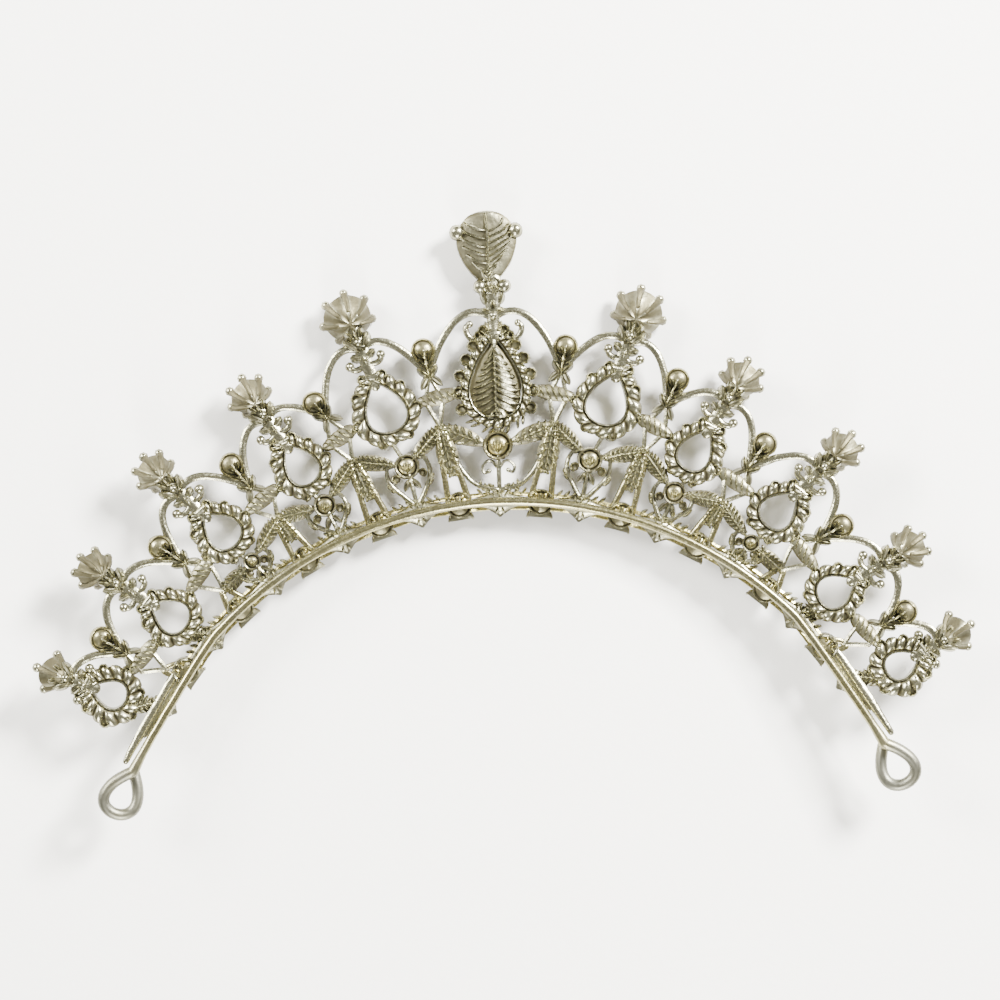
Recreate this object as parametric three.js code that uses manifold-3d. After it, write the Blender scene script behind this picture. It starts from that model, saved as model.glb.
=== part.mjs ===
// A cast openwork tiara frame on a bent band wire, lying on its front with its plain back up.
// Millimetres, +Z up. X runs along the tiara, Y from its end eyes towards its top.
// The origin is under the middle of its bounding box, on the surface that it lies on.
import * as THREE from 'three';
import { mergeVertices } from 'three/addons/utils/BufferGeometryUtils.js';
import Module from 'manifold-3d';

// Band wire: a round wire bent to an arc, with an eye at each end
const bandRadius = 65;
const wireDiameter = 1.4;
const wireHeight = 1.9;
const wireHalfAngle = 68;
const wireSteps = 26;
const wireSides = 6;
const wireGap = 0.3;
const eyeDiameter = 1.9;
const eyeLength = 9.2;
const eyeWidth = 7.2;
const eyeLean = 26;
const eyeSteps = 12;

// Towards its ends the wire runs straighter, inside its arc
const straightStart = 46;
const straightInset = 0.9;

// The head side is slightly hollow: the whole work is bent about an axis along Y
const bendRadius = 420;

// How deep the front points are worn flat
const restWear = 0.2;

const sideMotifs = 5;

// Side motifs: one value each, from the middle of the tiara to its ends.
// Angles are measured at the middle of the band's arc, and reaches outwards from its wire.
const ringAngles = [12.6, 23.9, 35.9, 47.6, 59.9];
const ringReaches = [17.9, 14.0, 11.8, 7.6, 8.5];
const ringLengths = [8.2, 6.9, 6.6, 6.2, 5.4];
const ringWidths = [6.3, 4.9, 5.2, 5.0, 4.1];
const clawAngles = [13.85, 25.4, 37.6, 49.4, 60.4];
const clawReaches = [32.8, 27.2, 25.2, 20.8, 18.0];
const clawRims = [3.5, 2.7, 2.6, 2.6, 2.4];
const clawSpans = [9.1, 7.6, 7.2, 7.1, 6.8];
const clawTilts = [22, 30, 26, 28, 38];
const clawProngs = [7, 7, 7, 7, 4];
const clawSags = [0.43, 0, 0.18, 0.65, -0.57];
const borderWidths = [2.5, 2.4, 2.4, 2.3, 2.9];

// Between neighbouring motifs: berry, fork, kite and waist
const berryAngles = [7.3, 19.5, 30.6, 42.6, 54.8];
const berryReaches = [25.4, 22.7, 19.3, 15.8, 13.7];
const berrySags = [0.1, -0.85, -0.13, 0.26, 0.22];
const berryRadius = 2.0;
const berryRise = 1.3;
const sprigLength = 4.2;
const sprigWidth = 3.8;
const forkAngles = [7.1, 19.0, 30.2, 41.7, 54.6];
const forkReaches = [21.4, 19.2, 14.5, 11.5, 9.5];
const waistAngles = [6.8, 18.0, 29.4, 40.5, 53.5];
const waistReaches = [12.8, 11.0, 8.0, 3.9, 2.6];
const kiteWidths = [3.6, 4.2, 4.8, 4.6, 4.4];
const kiteLeafWidth = 2.6;
const kiteBite = 0.7;

// Cup backs and leaves between the rings and the band
const domeAngles = [11.7, 23.3, 35.2];
const domeReaches = [7.7, 6.2, 4.6];
const domeRadii = [2.1, 1.9, 1.5];
const domeRise = 1.0;
const cellLeafWidth = 2.8;

// Row of round cups and pointed leaves on the front of the band
const rowPitch = 11.6;
const rowCupRadius = 2.2;
const rowDepth = 2.7;
const rowLeafLength = 4.2;
const rowLeafWidth = 4.6;
const rowTopReach = 1.2;

// Ring borders
const ringSharpness = 1;
const borderFlare = 0.3;
const borderNotch = 0.6;
const scallops = 8;

// Bars and scrolls of the casting, with a flat front and a ridged back
const frontDepth = 0.6;
const barRise = 0.55;
const borderRise = 0.9;
const leafRise = 0.7;
const arcWidth = 1.3;
const barWidth = 1.1;
const curlWidth = 1.0;
const curlReach = 2.7;
const curlDrop = 2.7;
const stemWidth = 1.9;
const stemRise = 1.3;
const lobeReach = 2.3;
const tailWidth = 1.5;
const tailHalfAngle = 67;

// Claw cups
const cupDepth = 3.0;
const prongWidth = 1.0;
const prongRise = 0.9;
const rimDepth = 1.5;

// Middle motif
const neckReach = 30.3;
const topPearReach = 40.9;
const topPearTurn = -0.35;
const topPearLength = 12.0;
const topPearWidth = 9.6;
const topPearDepth = 3.4;
const topPearSharpness = 0.55;
const midPearReach = 19.9;
const midPearLength = 12.8;
const midPearWidth = 8.2;
const midPearDepth = 2.2;
const pearBack = 1.1;
const pearBevel = 0.2;
const seatWall = 1.0;
const seatDepth = 1.2;
const midBorderWidth = 2.7;
const midScallops = 13;
const beadRadius = 0.95;
const dropReach = 9.1;
const dropRadius = 2.3;

const castSilver = new THREE.MeshStandardMaterial({ color: 0x9e9a86, roughness: 0.38, metalness: 1 });
const wireSilver = new THREE.MeshStandardMaterial({ color: 0xa39a74, roughness: 0.32, metalness: 1 });

const wasm = await Module();
wasm.setup();

const upward = new THREE.Vector3(0, 0, 1);

// A point by its angle from the middle of the band and its reach outside the band wire
function at(angle, reach, height = 0) {
  const radians = THREE.MathUtils.degToRad(angle);
  const radius = bandRadius + reach;
  return new THREE.Vector3(radius * Math.sin(radians), radius * Math.cos(radians), height);
}

// How far outside its arc the wire's middle line runs at an angle: inside it towards the ends
function wireReach(angle) {
  const share = (Math.abs(angle) - straightStart) / (wireHalfAngle - straightStart);
  return -straightInset * Math.sin(Math.PI * THREE.MathUtils.clamp(share, 0, 1));
}

function lowered(point, drop) {
  return point.clone().add(new THREE.Vector3(0, -drop, 0));
}

// A point moved sideways along the band
function shifted(point, distance) {
  const across = new THREE.Vector3(point.y, -point.x, 0).normalize();
  return point.clone().addScaledVector(across, distance);
}

function geometryOf(points, indices) {
  const geometry = new THREE.BufferGeometry();
  const positions = points.flatMap((point) => point.toArray());
  geometry.setAttribute('position', new THREE.Float32BufferAttribute(positions, 3));
  geometry.setIndex(indices);
  return geometry;
}

// The triangles between two rings of equal count
function band(low, high, count) {
  const indices = [];
  for (let column = 0; column < count; column += 1) {
    const next = (column + 1) % count;
    indices.push(low + column, low + next, high + next, low + column, high + next, high + column);
  }
  return indices;
}

// A closed solid through rings of points, capped at both ends
function loft(rings) {
  const count = rings[0].length;
  const last = (rings.length - 1) * count;
  const indices = rings.slice(1).flatMap((_, row) => band(row * count, (row + 1) * count, count));
  for (let column = 1; column < count - 1; column += 1) {
    indices.push(0, column + 1, column);
    indices.push(last, last + column, last + column + 1);
  }
  return geometryOf(rings.flat(), indices);
}

// A closed loop through rings of points
function hoop(rings) {
  const count = rings[0].length;
  const indices = rings.flatMap((_, row) => band(row * count, ((row + 1) % rings.length) * count, count));
  return geometryOf(rings.flat(), indices);
}

// A closed solid from a pole through rings of points to a second pole
function capsule(first, rings, second) {
  const count = rings[0].length;
  const points = [first, ...rings.flat(), second];
  const indices = rings.slice(1).flatMap((_, row) => band(1 + row * count, 1 + (row + 1) * count, count));
  const last = 1 + (rings.length - 1) * count;
  for (let column = 0; column < count; column += 1) {
    const next = (column + 1) % count;
    indices.push(0, 1 + next, 1 + column);
    indices.push(points.length - 1, last + column, last + next);
  }
  return geometryOf(points, indices);
}

// A bar with a flat front and a ridge along its back
function bar(points, widths, rise = barRise) {
  return loft(points.map((point, index) => {
    const before = points[Math.max(index - 1, 0)];
    const after = points[Math.min(index + 1, points.length - 1)];
    const along = after.clone().sub(before).setZ(0).normalize();
    const across = new THREE.Vector3(along.y, -along.x, 0);
    const half = (Array.isArray(widths) ? widths[index] : widths) / 2;
    return [
      point.clone().addScaledVector(across, half).addScaledVector(upward, -frontDepth),
      point.clone().addScaledVector(upward, rise),
      point.clone().addScaledVector(across, -half).addScaledVector(upward, -frontDepth),
    ];
  }));
}

// A leaf with a flat front and a peaked back, from the outline of its lobes
function leaf(outline, rise = leafRise, depth = frontDepth) {
  const middle = new THREE.Vector3();
  outline.forEach((point) => middle.addScaledVector(point, 1 / outline.length));
  const front = outline.map((point) => point.clone().addScaledVector(upward, -depth));
  const peak = middle.clone().addScaledVector(upward, rise);
  const floor = middle.clone().addScaledVector(upward, -depth);
  return capsule(peak, [front], floor);
}

// A frame of its own for each motif: across it, along it towards its target, and up
function frameOf(origin, target, side = 1) {
  const along = target.clone().sub(origin).setZ(0).normalize();
  const across = new THREE.Vector3(along.y, -along.x, 0).multiplyScalar(side);
  const place = (u, v, z = 0) => origin.clone()
    .addScaledVector(across, u)
    .addScaledVector(along, v)
    .addScaledVector(upward, z);
  return { along, across, place, length: target.clone().sub(origin).setZ(0).length() };
}

// A plain pointed leaf between two points
function pointedLeaf(base, tip, width, rise = leafRise) {
  const { place, length } = frameOf(base, tip);
  const half = width / 2;
  return leaf([base, place(half, length * 0.4), tip, place(-half, length * 0.4)], rise);
}

// An outline from its right half
function mirrored(half) {
  return [...half, ...half.map(([u, v]) => [-u, v]).reverse()];
}

// The outline of a pear, which starts at its tip. A sharper pear is narrower near its tip.
function pear(turn, length, width, sharpness) {
  const share = (sharpness + 1) / (sharpness + 2);
  const widest = 2 * Math.sqrt(1 - share) * share ** ((sharpness + 1) / 2);
  const across = (width / 2 / widest) * Math.sin(turn) * Math.abs(Math.sin(turn / 2)) ** sharpness;
  return [across, (length / 2) * Math.cos(turn)];
}

// A pear-shaped border with a scalloped outer edge
function border(place, length, width, thickness, flare, bumps) {
  const steps = bumps * 2;
  return hoop(Array.from({ length: steps }, (_, index) => {
    const turn = ((index + 0.5) / steps) * 2 * Math.PI;
    const [u, v] = pear(turn, length, width, ringSharpness);
    const [nextU, nextV] = pear(turn + 0.02, length, width, ringSharpness);
    const slope = Math.hypot(nextU - u, nextV - v);
    const outU = (v - nextV) / slope;
    const outV = (nextU - u) / slope;
    const edge = thickness - (index % 2) * borderNotch + Math.max(0, outU) * flare;
    return [
      place(u, v, -frontDepth),
      place(u + outU * thickness * 0.45, v + outV * thickness * 0.45, borderRise),
      place(u + outU * edge, v + outV * edge, -frontDepth),
    ];
  }));
}

// A hollow cup with its mouth to the front, whose ribs end in prongs round its rim
function clawCup(mouth, front, across, rim, span, prongs) {
  const second = new THREE.Vector3().crossVectors(front, across).normalize();
  const first = new THREE.Vector3().crossVectors(second, front).normalize();
  const place = (radius, turn, height) => mouth.clone()
    .addScaledVector(first, radius * Math.cos(turn))
    .addScaledVector(second, radius * Math.sin(turn))
    .addScaledVector(front, height);
  const point = (index, ribRadius, ribHeight, webRadius, webHeight) => {
    const middle = (Math.floor(index / 3) / prongs) * 2 * Math.PI;
    const column = index % 3;
    if (column === 2) return place(webRadius, middle + Math.PI / prongs, webHeight);
    return place(ribRadius, middle + ((column - 0.5) * prongWidth) / ribRadius, ribHeight);
  };
  const ring = (...sizes) => Array.from({ length: prongs * 3 }, (_, index) => point(index, ...sizes));
  return capsule(place(0, 0, -cupDepth), [
    ring(rim * 0.8, -cupDepth * 0.6, rim * 0.66, -cupDepth * 0.6),
    ring(span / 2, prongRise, rim, 0),
  ], place(0, 0, -cupDepth * 0.5));
}

// The rounded back of a cup on a flat front
function dome(centre, radius, front, back, sides = 6) {
  const ring = (share, height) => Array.from({ length: sides }, (_, index) => {
    const turn = ((index + 0.5) / sides) * 2 * Math.PI;
    return centre.clone().add(new THREE.Vector3(
      radius * share * Math.cos(turn),
      radius * share * Math.sin(turn),
      height,
    ));
  });
  const pole = centre.clone().addScaledVector(upward, back);
  const floor = centre.clone().addScaledVector(upward, front);
  return capsule(pole, [ring(0.78, THREE.MathUtils.lerp(front, back, 0.72)), ring(1, front)], floor);
}

// A bow that leaves its start outwards and falls to its end
function bow(start, end, bulge, steps) {
  const chord = end.clone().sub(start);
  const out = new THREE.Vector3(-chord.y, chord.x, 0);
  return new THREE.CubicBezierCurve3(
    start,
    start.clone().addScaledVector(chord, 0.08).addScaledVector(out, bulge * 1.6),
    end.clone().addScaledVector(chord, -0.5).addScaledVector(out, bulge * 1.4),
    end,
  ).getPoints(steps);
}

// A curl to each side of a stem, whose ends turn up and swell. Its arms spread further by the last size.
function curl(place, reach, spread) {
  const outline = [[-1, 0.56], [-0.7, 0.04], [0, 0.11], [0.7, 0.04], [1, 0.56]];
  const points = outline.map(([u, v]) => place(u * reach + Math.sign(u) * spread, v * reach));
  return bar(points, [1.3, 1, 1, 1, 1.3].map((share) => share * curlWidth));
}

function sideMotif(index, side) {
  const ring = at(side * ringAngles[index], ringReaches[index]);
  const claw = lowered(at(side * clawAngles[index], clawReaches[index]), side * clawSags[index]);
  const { along, across, place, length } = frameOf(ring, claw, side);
  const tilt = THREE.MathUtils.degToRad(clawTilts[index]);
  const front = along.clone().multiplyScalar(Math.sin(tilt)).addScaledVector(upward, -Math.cos(tilt));
  const mouth = claw.clone().addScaledVector(upward, -rimDepth);
  const tip = ringLengths[index] / 2;
  const neck = tip + (length - tip) * 0.5;
  const half = stemWidth / 2;
  const stem = [
    [half, tip + stemWidth * 0.2],
    [half, neck - stemWidth * 0.2],
    [lobeReach, neck + stemWidth * 0.8],
    [half * 1.2, neck + stemWidth * 1.35],
    [half, length - (cupDepth + prongRise * 0.3) * Math.sin(tilt)],
  ];
  const parts = [
    border(place, ringLengths[index], ringWidths[index], borderWidths[index], borderFlare, scallops),
    leaf(mirrored(stem).map(([u, v]) => place(u, v)), stemRise),
    curl((u, v) => place(u, neck - curlDrop + v), curlReach, 0),
    clawCup(mouth, front, across, clawRims[index], clawSpans[index], clawProngs[index]),
  ];
  return { parts, neck: place(0, neck) };
}

// The point in a ring's border, or the middle pear's, that is nearest to another point
function borderEdge(index, target, side) {
  if (index < 0) {
    const centre = at(0, midPearReach);
    return centre.lerp(target, (midPearWidth / 2 + midBorderWidth - kiteBite) / centre.distanceTo(target));
  }
  const centre = at(side * ringAngles[index], ringReaches[index]);
  const outside = side * target.x > side * centre.x;
  const reach = ringWidths[index] / 2 + borderWidths[index] - kiteBite + (outside ? borderFlare : 0);
  return centre.lerp(target, reach / centre.distanceTo(target));
}

// Berry, leaf sprig and kite between two neighbouring motifs
function junction(index, side) {
  const fork = at(side * forkAngles[index], forkReaches[index]);
  const waist = at(side * waistAngles[index], waistReaches[index]);
  const berry = lowered(at(side * berryAngles[index], berryReaches[index]), side * berrySags[index]);
  const sprig = frameOf(fork, berry, side);
  const lobes = mirrored([[0.15, -0.1], [0.25, 0.3], [0.5, 0.7], [0.3, 1]]);
  const kite = frameOf(waist, fork, side);
  const middle = kite.place(0, kite.length / 2);
  const half = kiteWidths[index] / 2;
  const corners = [waist, kite.place(-half, kite.length / 2), fork, kite.place(half, kite.length / 2)];
  const frame = corners.map((corner) => {
    const inner = corner.clone().lerp(middle, (barWidth * 1.2) / corner.distanceTo(middle));
    return [
      inner.clone().addScaledVector(upward, -frontDepth),
      corner.clone().lerp(inner, 0.5).addScaledVector(upward, barRise),
      corner.clone().addScaledVector(upward, -frontDepth),
    ];
  });
  const parts = [
    dome(berry, berryRadius, -frontDepth, berryRise),
    leaf(lobes.map(([u, v]) => sprig.place(u * sprigWidth, v * sprigLength))),
    hoop(frame),
    pointedLeaf(borderEdge(index - 1, middle, side), borderEdge(index, middle, side), kiteLeafWidth),
  ];
  return { parts, fork, waist };
}

// Stalk, domed cup and leaves from a ring down to the band row
function underwork(index, side) {
  const rowAngle = side * rowPitch * (index + 1);
  const foot = ringReaches[index] - ringLengths[index] / 2 - borderWidths[index] * 0.5;
  const footAngle = side * (ringAngles[index] + 0.3);
  const inner = at(side * waistAngles[index], waistReaches[index]);
  const rowTop = at(rowAngle, rowTopReach);
  if (index >= domeAngles.length) {
    return [pointedLeaf(at(footAngle, foot + barWidth * 0.5), rowTop, cellLeafWidth)];
  }
  const outer = at(side * waistAngles[index + 1], waistReaches[index + 1]);
  const cup = at(side * domeAngles[index], domeReaches[index]);
  return [
    dome(cup, domeRadii[index], -frontDepth, domeRise),
    bar([at(footAngle, foot), cup, rowTop], barWidth),
    pointedLeaf(inner, inner.clone().lerp(cup, 0.75), cellLeafWidth),
    pointedLeaf(outer, outer.clone().lerp(cup, 0.75), cellLeafWidth),
  ];
}

// The highest level of the casting under the band wire
function seatLevel() {
  return wireHeight - wireDiameter / 2 - wireGap;
}

// Legs from a waist to the cup below it, and the leaf after it
function bandRow(index, side) {
  const cupAngle = side * rowPitch * (index + 0.5);
  const cup = at(cupAngle, 0);
  const waist = at(side * waistAngles[index], waistReaches[index]);
  const legs = [-1, 1].map((aside) => bar([
    shifted(at(cupAngle, rowCupRadius * 0.3), aside * rowCupRadius * 0.75),
    shifted(waist, aside * barWidth * 0.5),
  ], barWidth));
  return [
    dome(cup, rowCupRadius, -rowDepth, seatLevel()),
    ...legs,
    rowLeaf(side * rowPitch * (index + 1)),
  ];
}

// A pointed leaf on the front of the band, whose wings run into the cups beside it
function rowLeaf(angle) {
  const { place } = frameOf(at(angle, 0), at(angle, 1));
  const half = rowLeafWidth / 2;
  const wing = at(rowPitch / 2, 0).x - rowCupRadius * 0.25;
  const outline = mirrored([[half, -0.12], [wing, 0], [half, 0.45]]);
  outline.splice(3, 0, [0, 0.48]);
  outline.push([0, -0.52]);
  return leaf(outline.map(([u, v]) => place(u, v * rowLeafLength)), seatLevel() * 0.85, rowDepth * 0.7);
}

// The flat tail that ends the casting beside the wire
function tail(side) {
  const aside = wireDiameter / 2 + wireGap + tailWidth / 2;
  const start = rowPitch * (sideMotifs - 0.5);
  return bar([0, 0.25, 0.5, 0.75, 1].map((share) => {
    const angle = THREE.MathUtils.lerp(start, tailHalfAngle, share);
    return at(side * angle, wireReach(angle) + aside, wireHeight * 0.7 * share);
  }), [1, 1, 1, 1, 0.7].map((share) => share * tailWidth));
}

// A closed pear-shaped back with a seat in its front
function leafPear(centre, length, width, depth, sharpness, tipSide, steps = 12) {
  const along = (v, z) => centre.clone().add(new THREE.Vector3(0, v * tipSide, z));
  const outline = (inset, z) => Array.from({ length: steps }, (_, index) => {
    const turn = (index / steps) * 2 * Math.PI;
    const [u, v] = pear(turn, length - inset * 2, width - inset * 2, sharpness);
    return along(v, z).add(new THREE.Vector3(u, 0, 0));
  });
  const floor = -depth + seatDepth;
  const below = -depth - seatDepth;
  const inset = seatWall + pearBevel;
  const sides = [outline(0, 0), outline(pearBevel, -depth)];
  const hollow = [outline(inset, below), outline(inset, floor)];
  const body = capsule(along(-length * 0.1, pearBack), sides, along(0, -depth));
  const seat = capsule(along(0, below), hollow, along(0, floor));
  return { body, seat };
}

function middleMotif() {
  const up = (u, reach, z = 0) => at(0, reach, z).add(new THREE.Vector3(u, 0, 0));
  const head = (u, v, z = 0) => at(topPearTurn, topPearReach + v, z).add(new THREE.Vector3(u, 0, 0));
  const ringPlace = (u, v, z = 0) => up(u, midPearReach + v, z);
  const top = leafPear(head(0, 0), topPearLength, topPearWidth, topPearDepth, topPearSharpness, -1);
  const middle = leafPear(ringPlace(0, 0), midPearLength, midPearWidth, midPearDepth, ringSharpness, 1);
  const base = -topPearLength / 2 - beadRadius * 0.5;
  const bottom = midPearReach - midPearLength / 2;
  const peak = midPearReach + midPearLength / 2;
  const trunk = [head(0, base + beadRadius), up(0, neckReach), up(0, peak - barWidth * 0.4)];
  const lobes = mirrored([[0.47, -0.7], [0.58, 0.1], [1.2, 1], [0.47, 1.6]]);
  const collar = mirrored([[2, -1], [2.9, -1], [3.7, 0], [2.9, 1], [2, 1]]);
  const parts = [
    bar(trunk, stemWidth, borderRise),
    leaf(lobes.map(([u, v]) => up(u * stemWidth, neckReach + v * stemWidth)), stemRise),
    leaf(collar.map(([u, v]) => head(u * beadRadius, base + v * beadRadius)), stemRise, topPearDepth * 0.8),
    curl((u, v) => up(u, neckReach - curlDrop - curlWidth + v), curlReach, curlReach * 0.6),
    border(ringPlace, midPearLength, midPearWidth, midBorderWidth, 0, midScallops),
    dome(up(0, dropReach), dropRadius, -frontDepth, domeRise),
    bar([up(0, bottom), up(0, dropReach), up(0, rowTopReach)], barWidth),
    rowLeaf(0),
  ];
  for (const side of [1, -1]) {
    const waist = at(side * waistAngles[0], waistReaches[0]);
    const bead = head(side * topPearWidth * 0.48, topPearLength * 0.22);
    const scroll = [[0.8, 0.85], [0.45, 0.35], [0, 0.2]];
    parts.push(
      dome(bead, beadRadius, -topPearDepth * 0.8, beadRadius * 0.75, 5),
      pointedLeaf(waist, up(side * dropRadius * 0.6, dropReach), cellLeafWidth),
      bar([waist, ...scroll.map(([u, v]) => up(waist.x * u, dropReach * v))], barWidth),
    );
  }
  return { parts, top, middle, neck: up(0, neckReach - barWidth * 0.7) };
}

// The triangles of a geometry as a solid, with its faces outwards
function solidOf(geometry) {
  geometry.deleteAttribute('normal');
  geometry.deleteAttribute('uv');
  const merged = mergeVertices(geometry, 1e-5);
  const vertProperties = Float32Array.from(merged.attributes.position.array);
  const triVerts = Uint32Array.from(merged.index.array);
  const solid = new wasm.Manifold(new wasm.Mesh({ numProp: 3, vertProperties, triVerts }));
  if (solid.volume() > 0) return solid;
  triVerts.reverse();
  return new wasm.Manifold(new wasm.Mesh({ numProp: 3, vertProperties, triVerts }));
}

function geometryFrom(solid) {
  const mesh = solid.getMesh();
  const geometry = new THREE.BufferGeometry();
  geometry.setAttribute('position', new THREE.Float32BufferAttribute(mesh.vertProperties, 3));
  geometry.setIndex(Array.from(mesh.triVerts));
  return geometry;
}

// The slight hollow towards the head: X wraps round an axis above the work
function bend(geometry) {
  const positions = geometry.attributes.position;
  for (let index = 0; index < positions.count; index += 1) {
    const turn = positions.getX(index) / bendRadius;
    const radius = bendRadius - positions.getZ(index);
    positions.setX(index, radius * Math.sin(turn));
    positions.setZ(index, bendRadius - radius * Math.cos(turn));
  }
  return geometry;
}

function casting() {
  const middle = middleMotif();
  const parts = [...middle.parts, middle.top.body, middle.middle.body];
  for (const side of [-1, 1]) {
    let neck = middle.neck;
    ringAngles.forEach((_, index) => {
      const motif = sideMotif(index, side);
      const between = junction(index, side);
      parts.push(...motif.parts, ...between.parts, ...underwork(index, side), ...bandRow(index, side));
      parts.push(bar(bow(neck, between.fork, side * 0.24, 4), arcWidth));
      parts.push(bar(bow(motif.neck, between.fork, -side * 0.2, 4), arcWidth));
      neck = motif.neck;
    });
    parts.push(tail(side));
  }
  const whole = wasm.Manifold.union(parts.map(solidOf));
  return whole.subtract(solidOf(middle.top.seat)).subtract(solidOf(middle.middle.seat)).simplify(0.1);
}

// The wire's arc, then a drop-shaped eye whose end tucks in behind the wire
function bandWire() {
  const arc = Array.from({ length: wireSteps + 1 }, (_, index) => {
    const angle = THREE.MathUtils.lerp(-wireHalfAngle, wireHalfAngle, index / wireSteps);
    return at(angle, wireReach(angle), wireHeight);
  });
  const eye = (side) => {
    const lean = THREE.MathUtils.degToRad(eyeLean);
    const start = at(side * wireHalfAngle, 0, wireHeight);
    const onward = new THREE.Vector3(side * Math.sin(lean), -Math.cos(lean), 0);
    const outward = new THREE.Vector3(-onward.y, onward.x, 0).multiplyScalar(side);
    const length = eyeLength - eyeDiameter;
    const width = eyeWidth - eyeDiameter;
    return Array.from({ length: eyeSteps }, (_, index) => {
      const share = (index + 1) / eyeSteps;
      const [u, v] = pear(share * 2 * Math.PI * 0.93, length, width, ringSharpness);
      return start.clone()
        .addScaledVector(onward, length / 2 - v)
        .addScaledVector(outward, u)
        .setZ(wireHeight - share * eyeDiameter * 1.05);
    });
  };
  const path = [...eye(-1).reverse(), ...arc, ...eye(1)];
  return loft(path.map((point, index) => {
    const before = path[Math.max(index - 1, 0)];
    const after = path[Math.min(index + 1, path.length - 1)];
    const along = after.clone().sub(before).normalize();
    const across = new THREE.Vector3().crossVectors(along, upward).normalize();
    const above = new THREE.Vector3().crossVectors(across, along);
    const inside = index >= eyeSteps && index < path.length - eyeSteps;
    const half = (inside ? wireDiameter : eyeDiameter) / 2;
    return Array.from({ length: wireSides }, (_, side) => {
      const turn = ((side + 0.5) / wireSides) * 2 * Math.PI;
      return point.clone()
        .addScaledVector(across, half * Math.cos(turn))
        .addScaledVector(above, half * Math.sin(turn));
    });
  }));
}

// The front points that the work lies on are worn to small flats in one plane
function wornFlat(solid) {
  const { min, max } = solid.boundingBox();
  const size = bandRadius * 4;
  const slab = new THREE.BoxGeometry(size, size, size);
  slab.translate((min[0] + max[0]) / 2, (min[1] + max[1]) / 2, min[2] + restWear - size / 2);
  return solid.subtract(solidOf(slab));
}

const group = new THREE.Group();
const bentCasting = solidOf(bend(geometryFrom(casting())));
const openwork = new THREE.Mesh(geometryFrom(wornFlat(bentCasting)), castSilver);
openwork.name = 'openwork_casting';
const wire = new THREE.Mesh(bend(geometryFrom(solidOf(bandWire()))), wireSilver);
wire.name = 'band_wire';
group.add(openwork, wire);

const bounds = new THREE.Box3().setFromObject(group);
const centre = bounds.getCenter(new THREE.Vector3());
group.position.set(-centre.x, -centre.y, -bounds.min.z);

export default group;
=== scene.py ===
"""Looks of the openwork tiara frame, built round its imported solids.

Shapes are in millimetres until they are placed."""
import math

import bmesh
import bpy
import numpy as np
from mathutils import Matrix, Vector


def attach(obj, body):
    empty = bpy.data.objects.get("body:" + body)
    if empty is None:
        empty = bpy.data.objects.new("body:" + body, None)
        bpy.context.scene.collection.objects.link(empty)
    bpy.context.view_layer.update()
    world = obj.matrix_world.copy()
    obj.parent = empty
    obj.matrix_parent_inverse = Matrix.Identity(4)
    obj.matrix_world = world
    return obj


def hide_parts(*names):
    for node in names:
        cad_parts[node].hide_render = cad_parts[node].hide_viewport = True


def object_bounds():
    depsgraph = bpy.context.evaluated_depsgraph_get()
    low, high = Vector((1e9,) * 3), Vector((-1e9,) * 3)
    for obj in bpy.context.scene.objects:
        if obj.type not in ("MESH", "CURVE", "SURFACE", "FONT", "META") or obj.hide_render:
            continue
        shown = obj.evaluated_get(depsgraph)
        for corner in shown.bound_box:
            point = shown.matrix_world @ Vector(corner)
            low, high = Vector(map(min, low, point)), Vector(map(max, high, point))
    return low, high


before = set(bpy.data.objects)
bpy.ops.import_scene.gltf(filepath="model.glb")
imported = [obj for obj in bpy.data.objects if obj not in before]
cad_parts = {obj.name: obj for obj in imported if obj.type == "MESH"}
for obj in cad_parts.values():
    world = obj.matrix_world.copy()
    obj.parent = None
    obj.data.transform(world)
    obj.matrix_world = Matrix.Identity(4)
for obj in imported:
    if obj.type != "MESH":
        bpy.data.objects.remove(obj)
cad_low, cad_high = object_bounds()

MM = 0.001
ACROSS = np.array([1.0, 0.0, 0.0])
AHEAD = np.array([0.0, 1.0, 0.0])
UP = np.array([0.0, 0.0, 1.0])

# Band wire, as in the solids
BAND_RADIUS = 65.0
WIRE_DIAMETER = 1.4
WIRE_HEIGHT = 1.9
WIRE_HALF_ANGLE = 68.0
WIRE_GAP = 0.3
WIRE_SIDES = 20
EYE_DIAMETER = 1.9
EYE_LENGTH = 9.2
EYE_WIDTH = 7.2
EYE_LEAN = 26.0
STRAIGHT_START = 46.0
STRAIGHT_INSET = 0.9
BEND_RADIUS = 420.0

# Side motifs, from the middle of the tiara to its ends
RING_ANGLES = (12.6, 23.9, 35.9, 47.6, 59.9)
RING_REACHES = (17.9, 14.0, 11.8, 7.6, 8.5)
RING_LENGTHS = (8.2, 6.9, 6.6, 6.2, 5.4)
RING_WIDTHS = (6.3, 4.9, 5.2, 5.0, 4.1)
RING_SHARPNESS = 1.0
CLAW_ANGLES = (13.85, 25.4, 37.6, 49.4, 60.4)
CLAW_REACHES = (32.8, 27.2, 25.2, 20.8, 18.0)
CLAW_RIMS = (3.5, 2.7, 2.6, 2.6, 2.4)
CLAW_SPANS = (9.1, 7.6, 7.2, 7.1, 6.8)
CLAW_TILTS = (22, 30, 26, 28, 38)
CLAW_PRONGS = (7, 7, 7, 7, 4)
CLAW_SAGS = (0.43, 0.0, 0.18, 0.65, -0.57)
BORDER_WIDTHS = (2.5, 2.4, 2.4, 2.3, 2.9)
BORDER_FLARE = 0.3
RING_LOBES = 15
RING_HOOKS = 8

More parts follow.
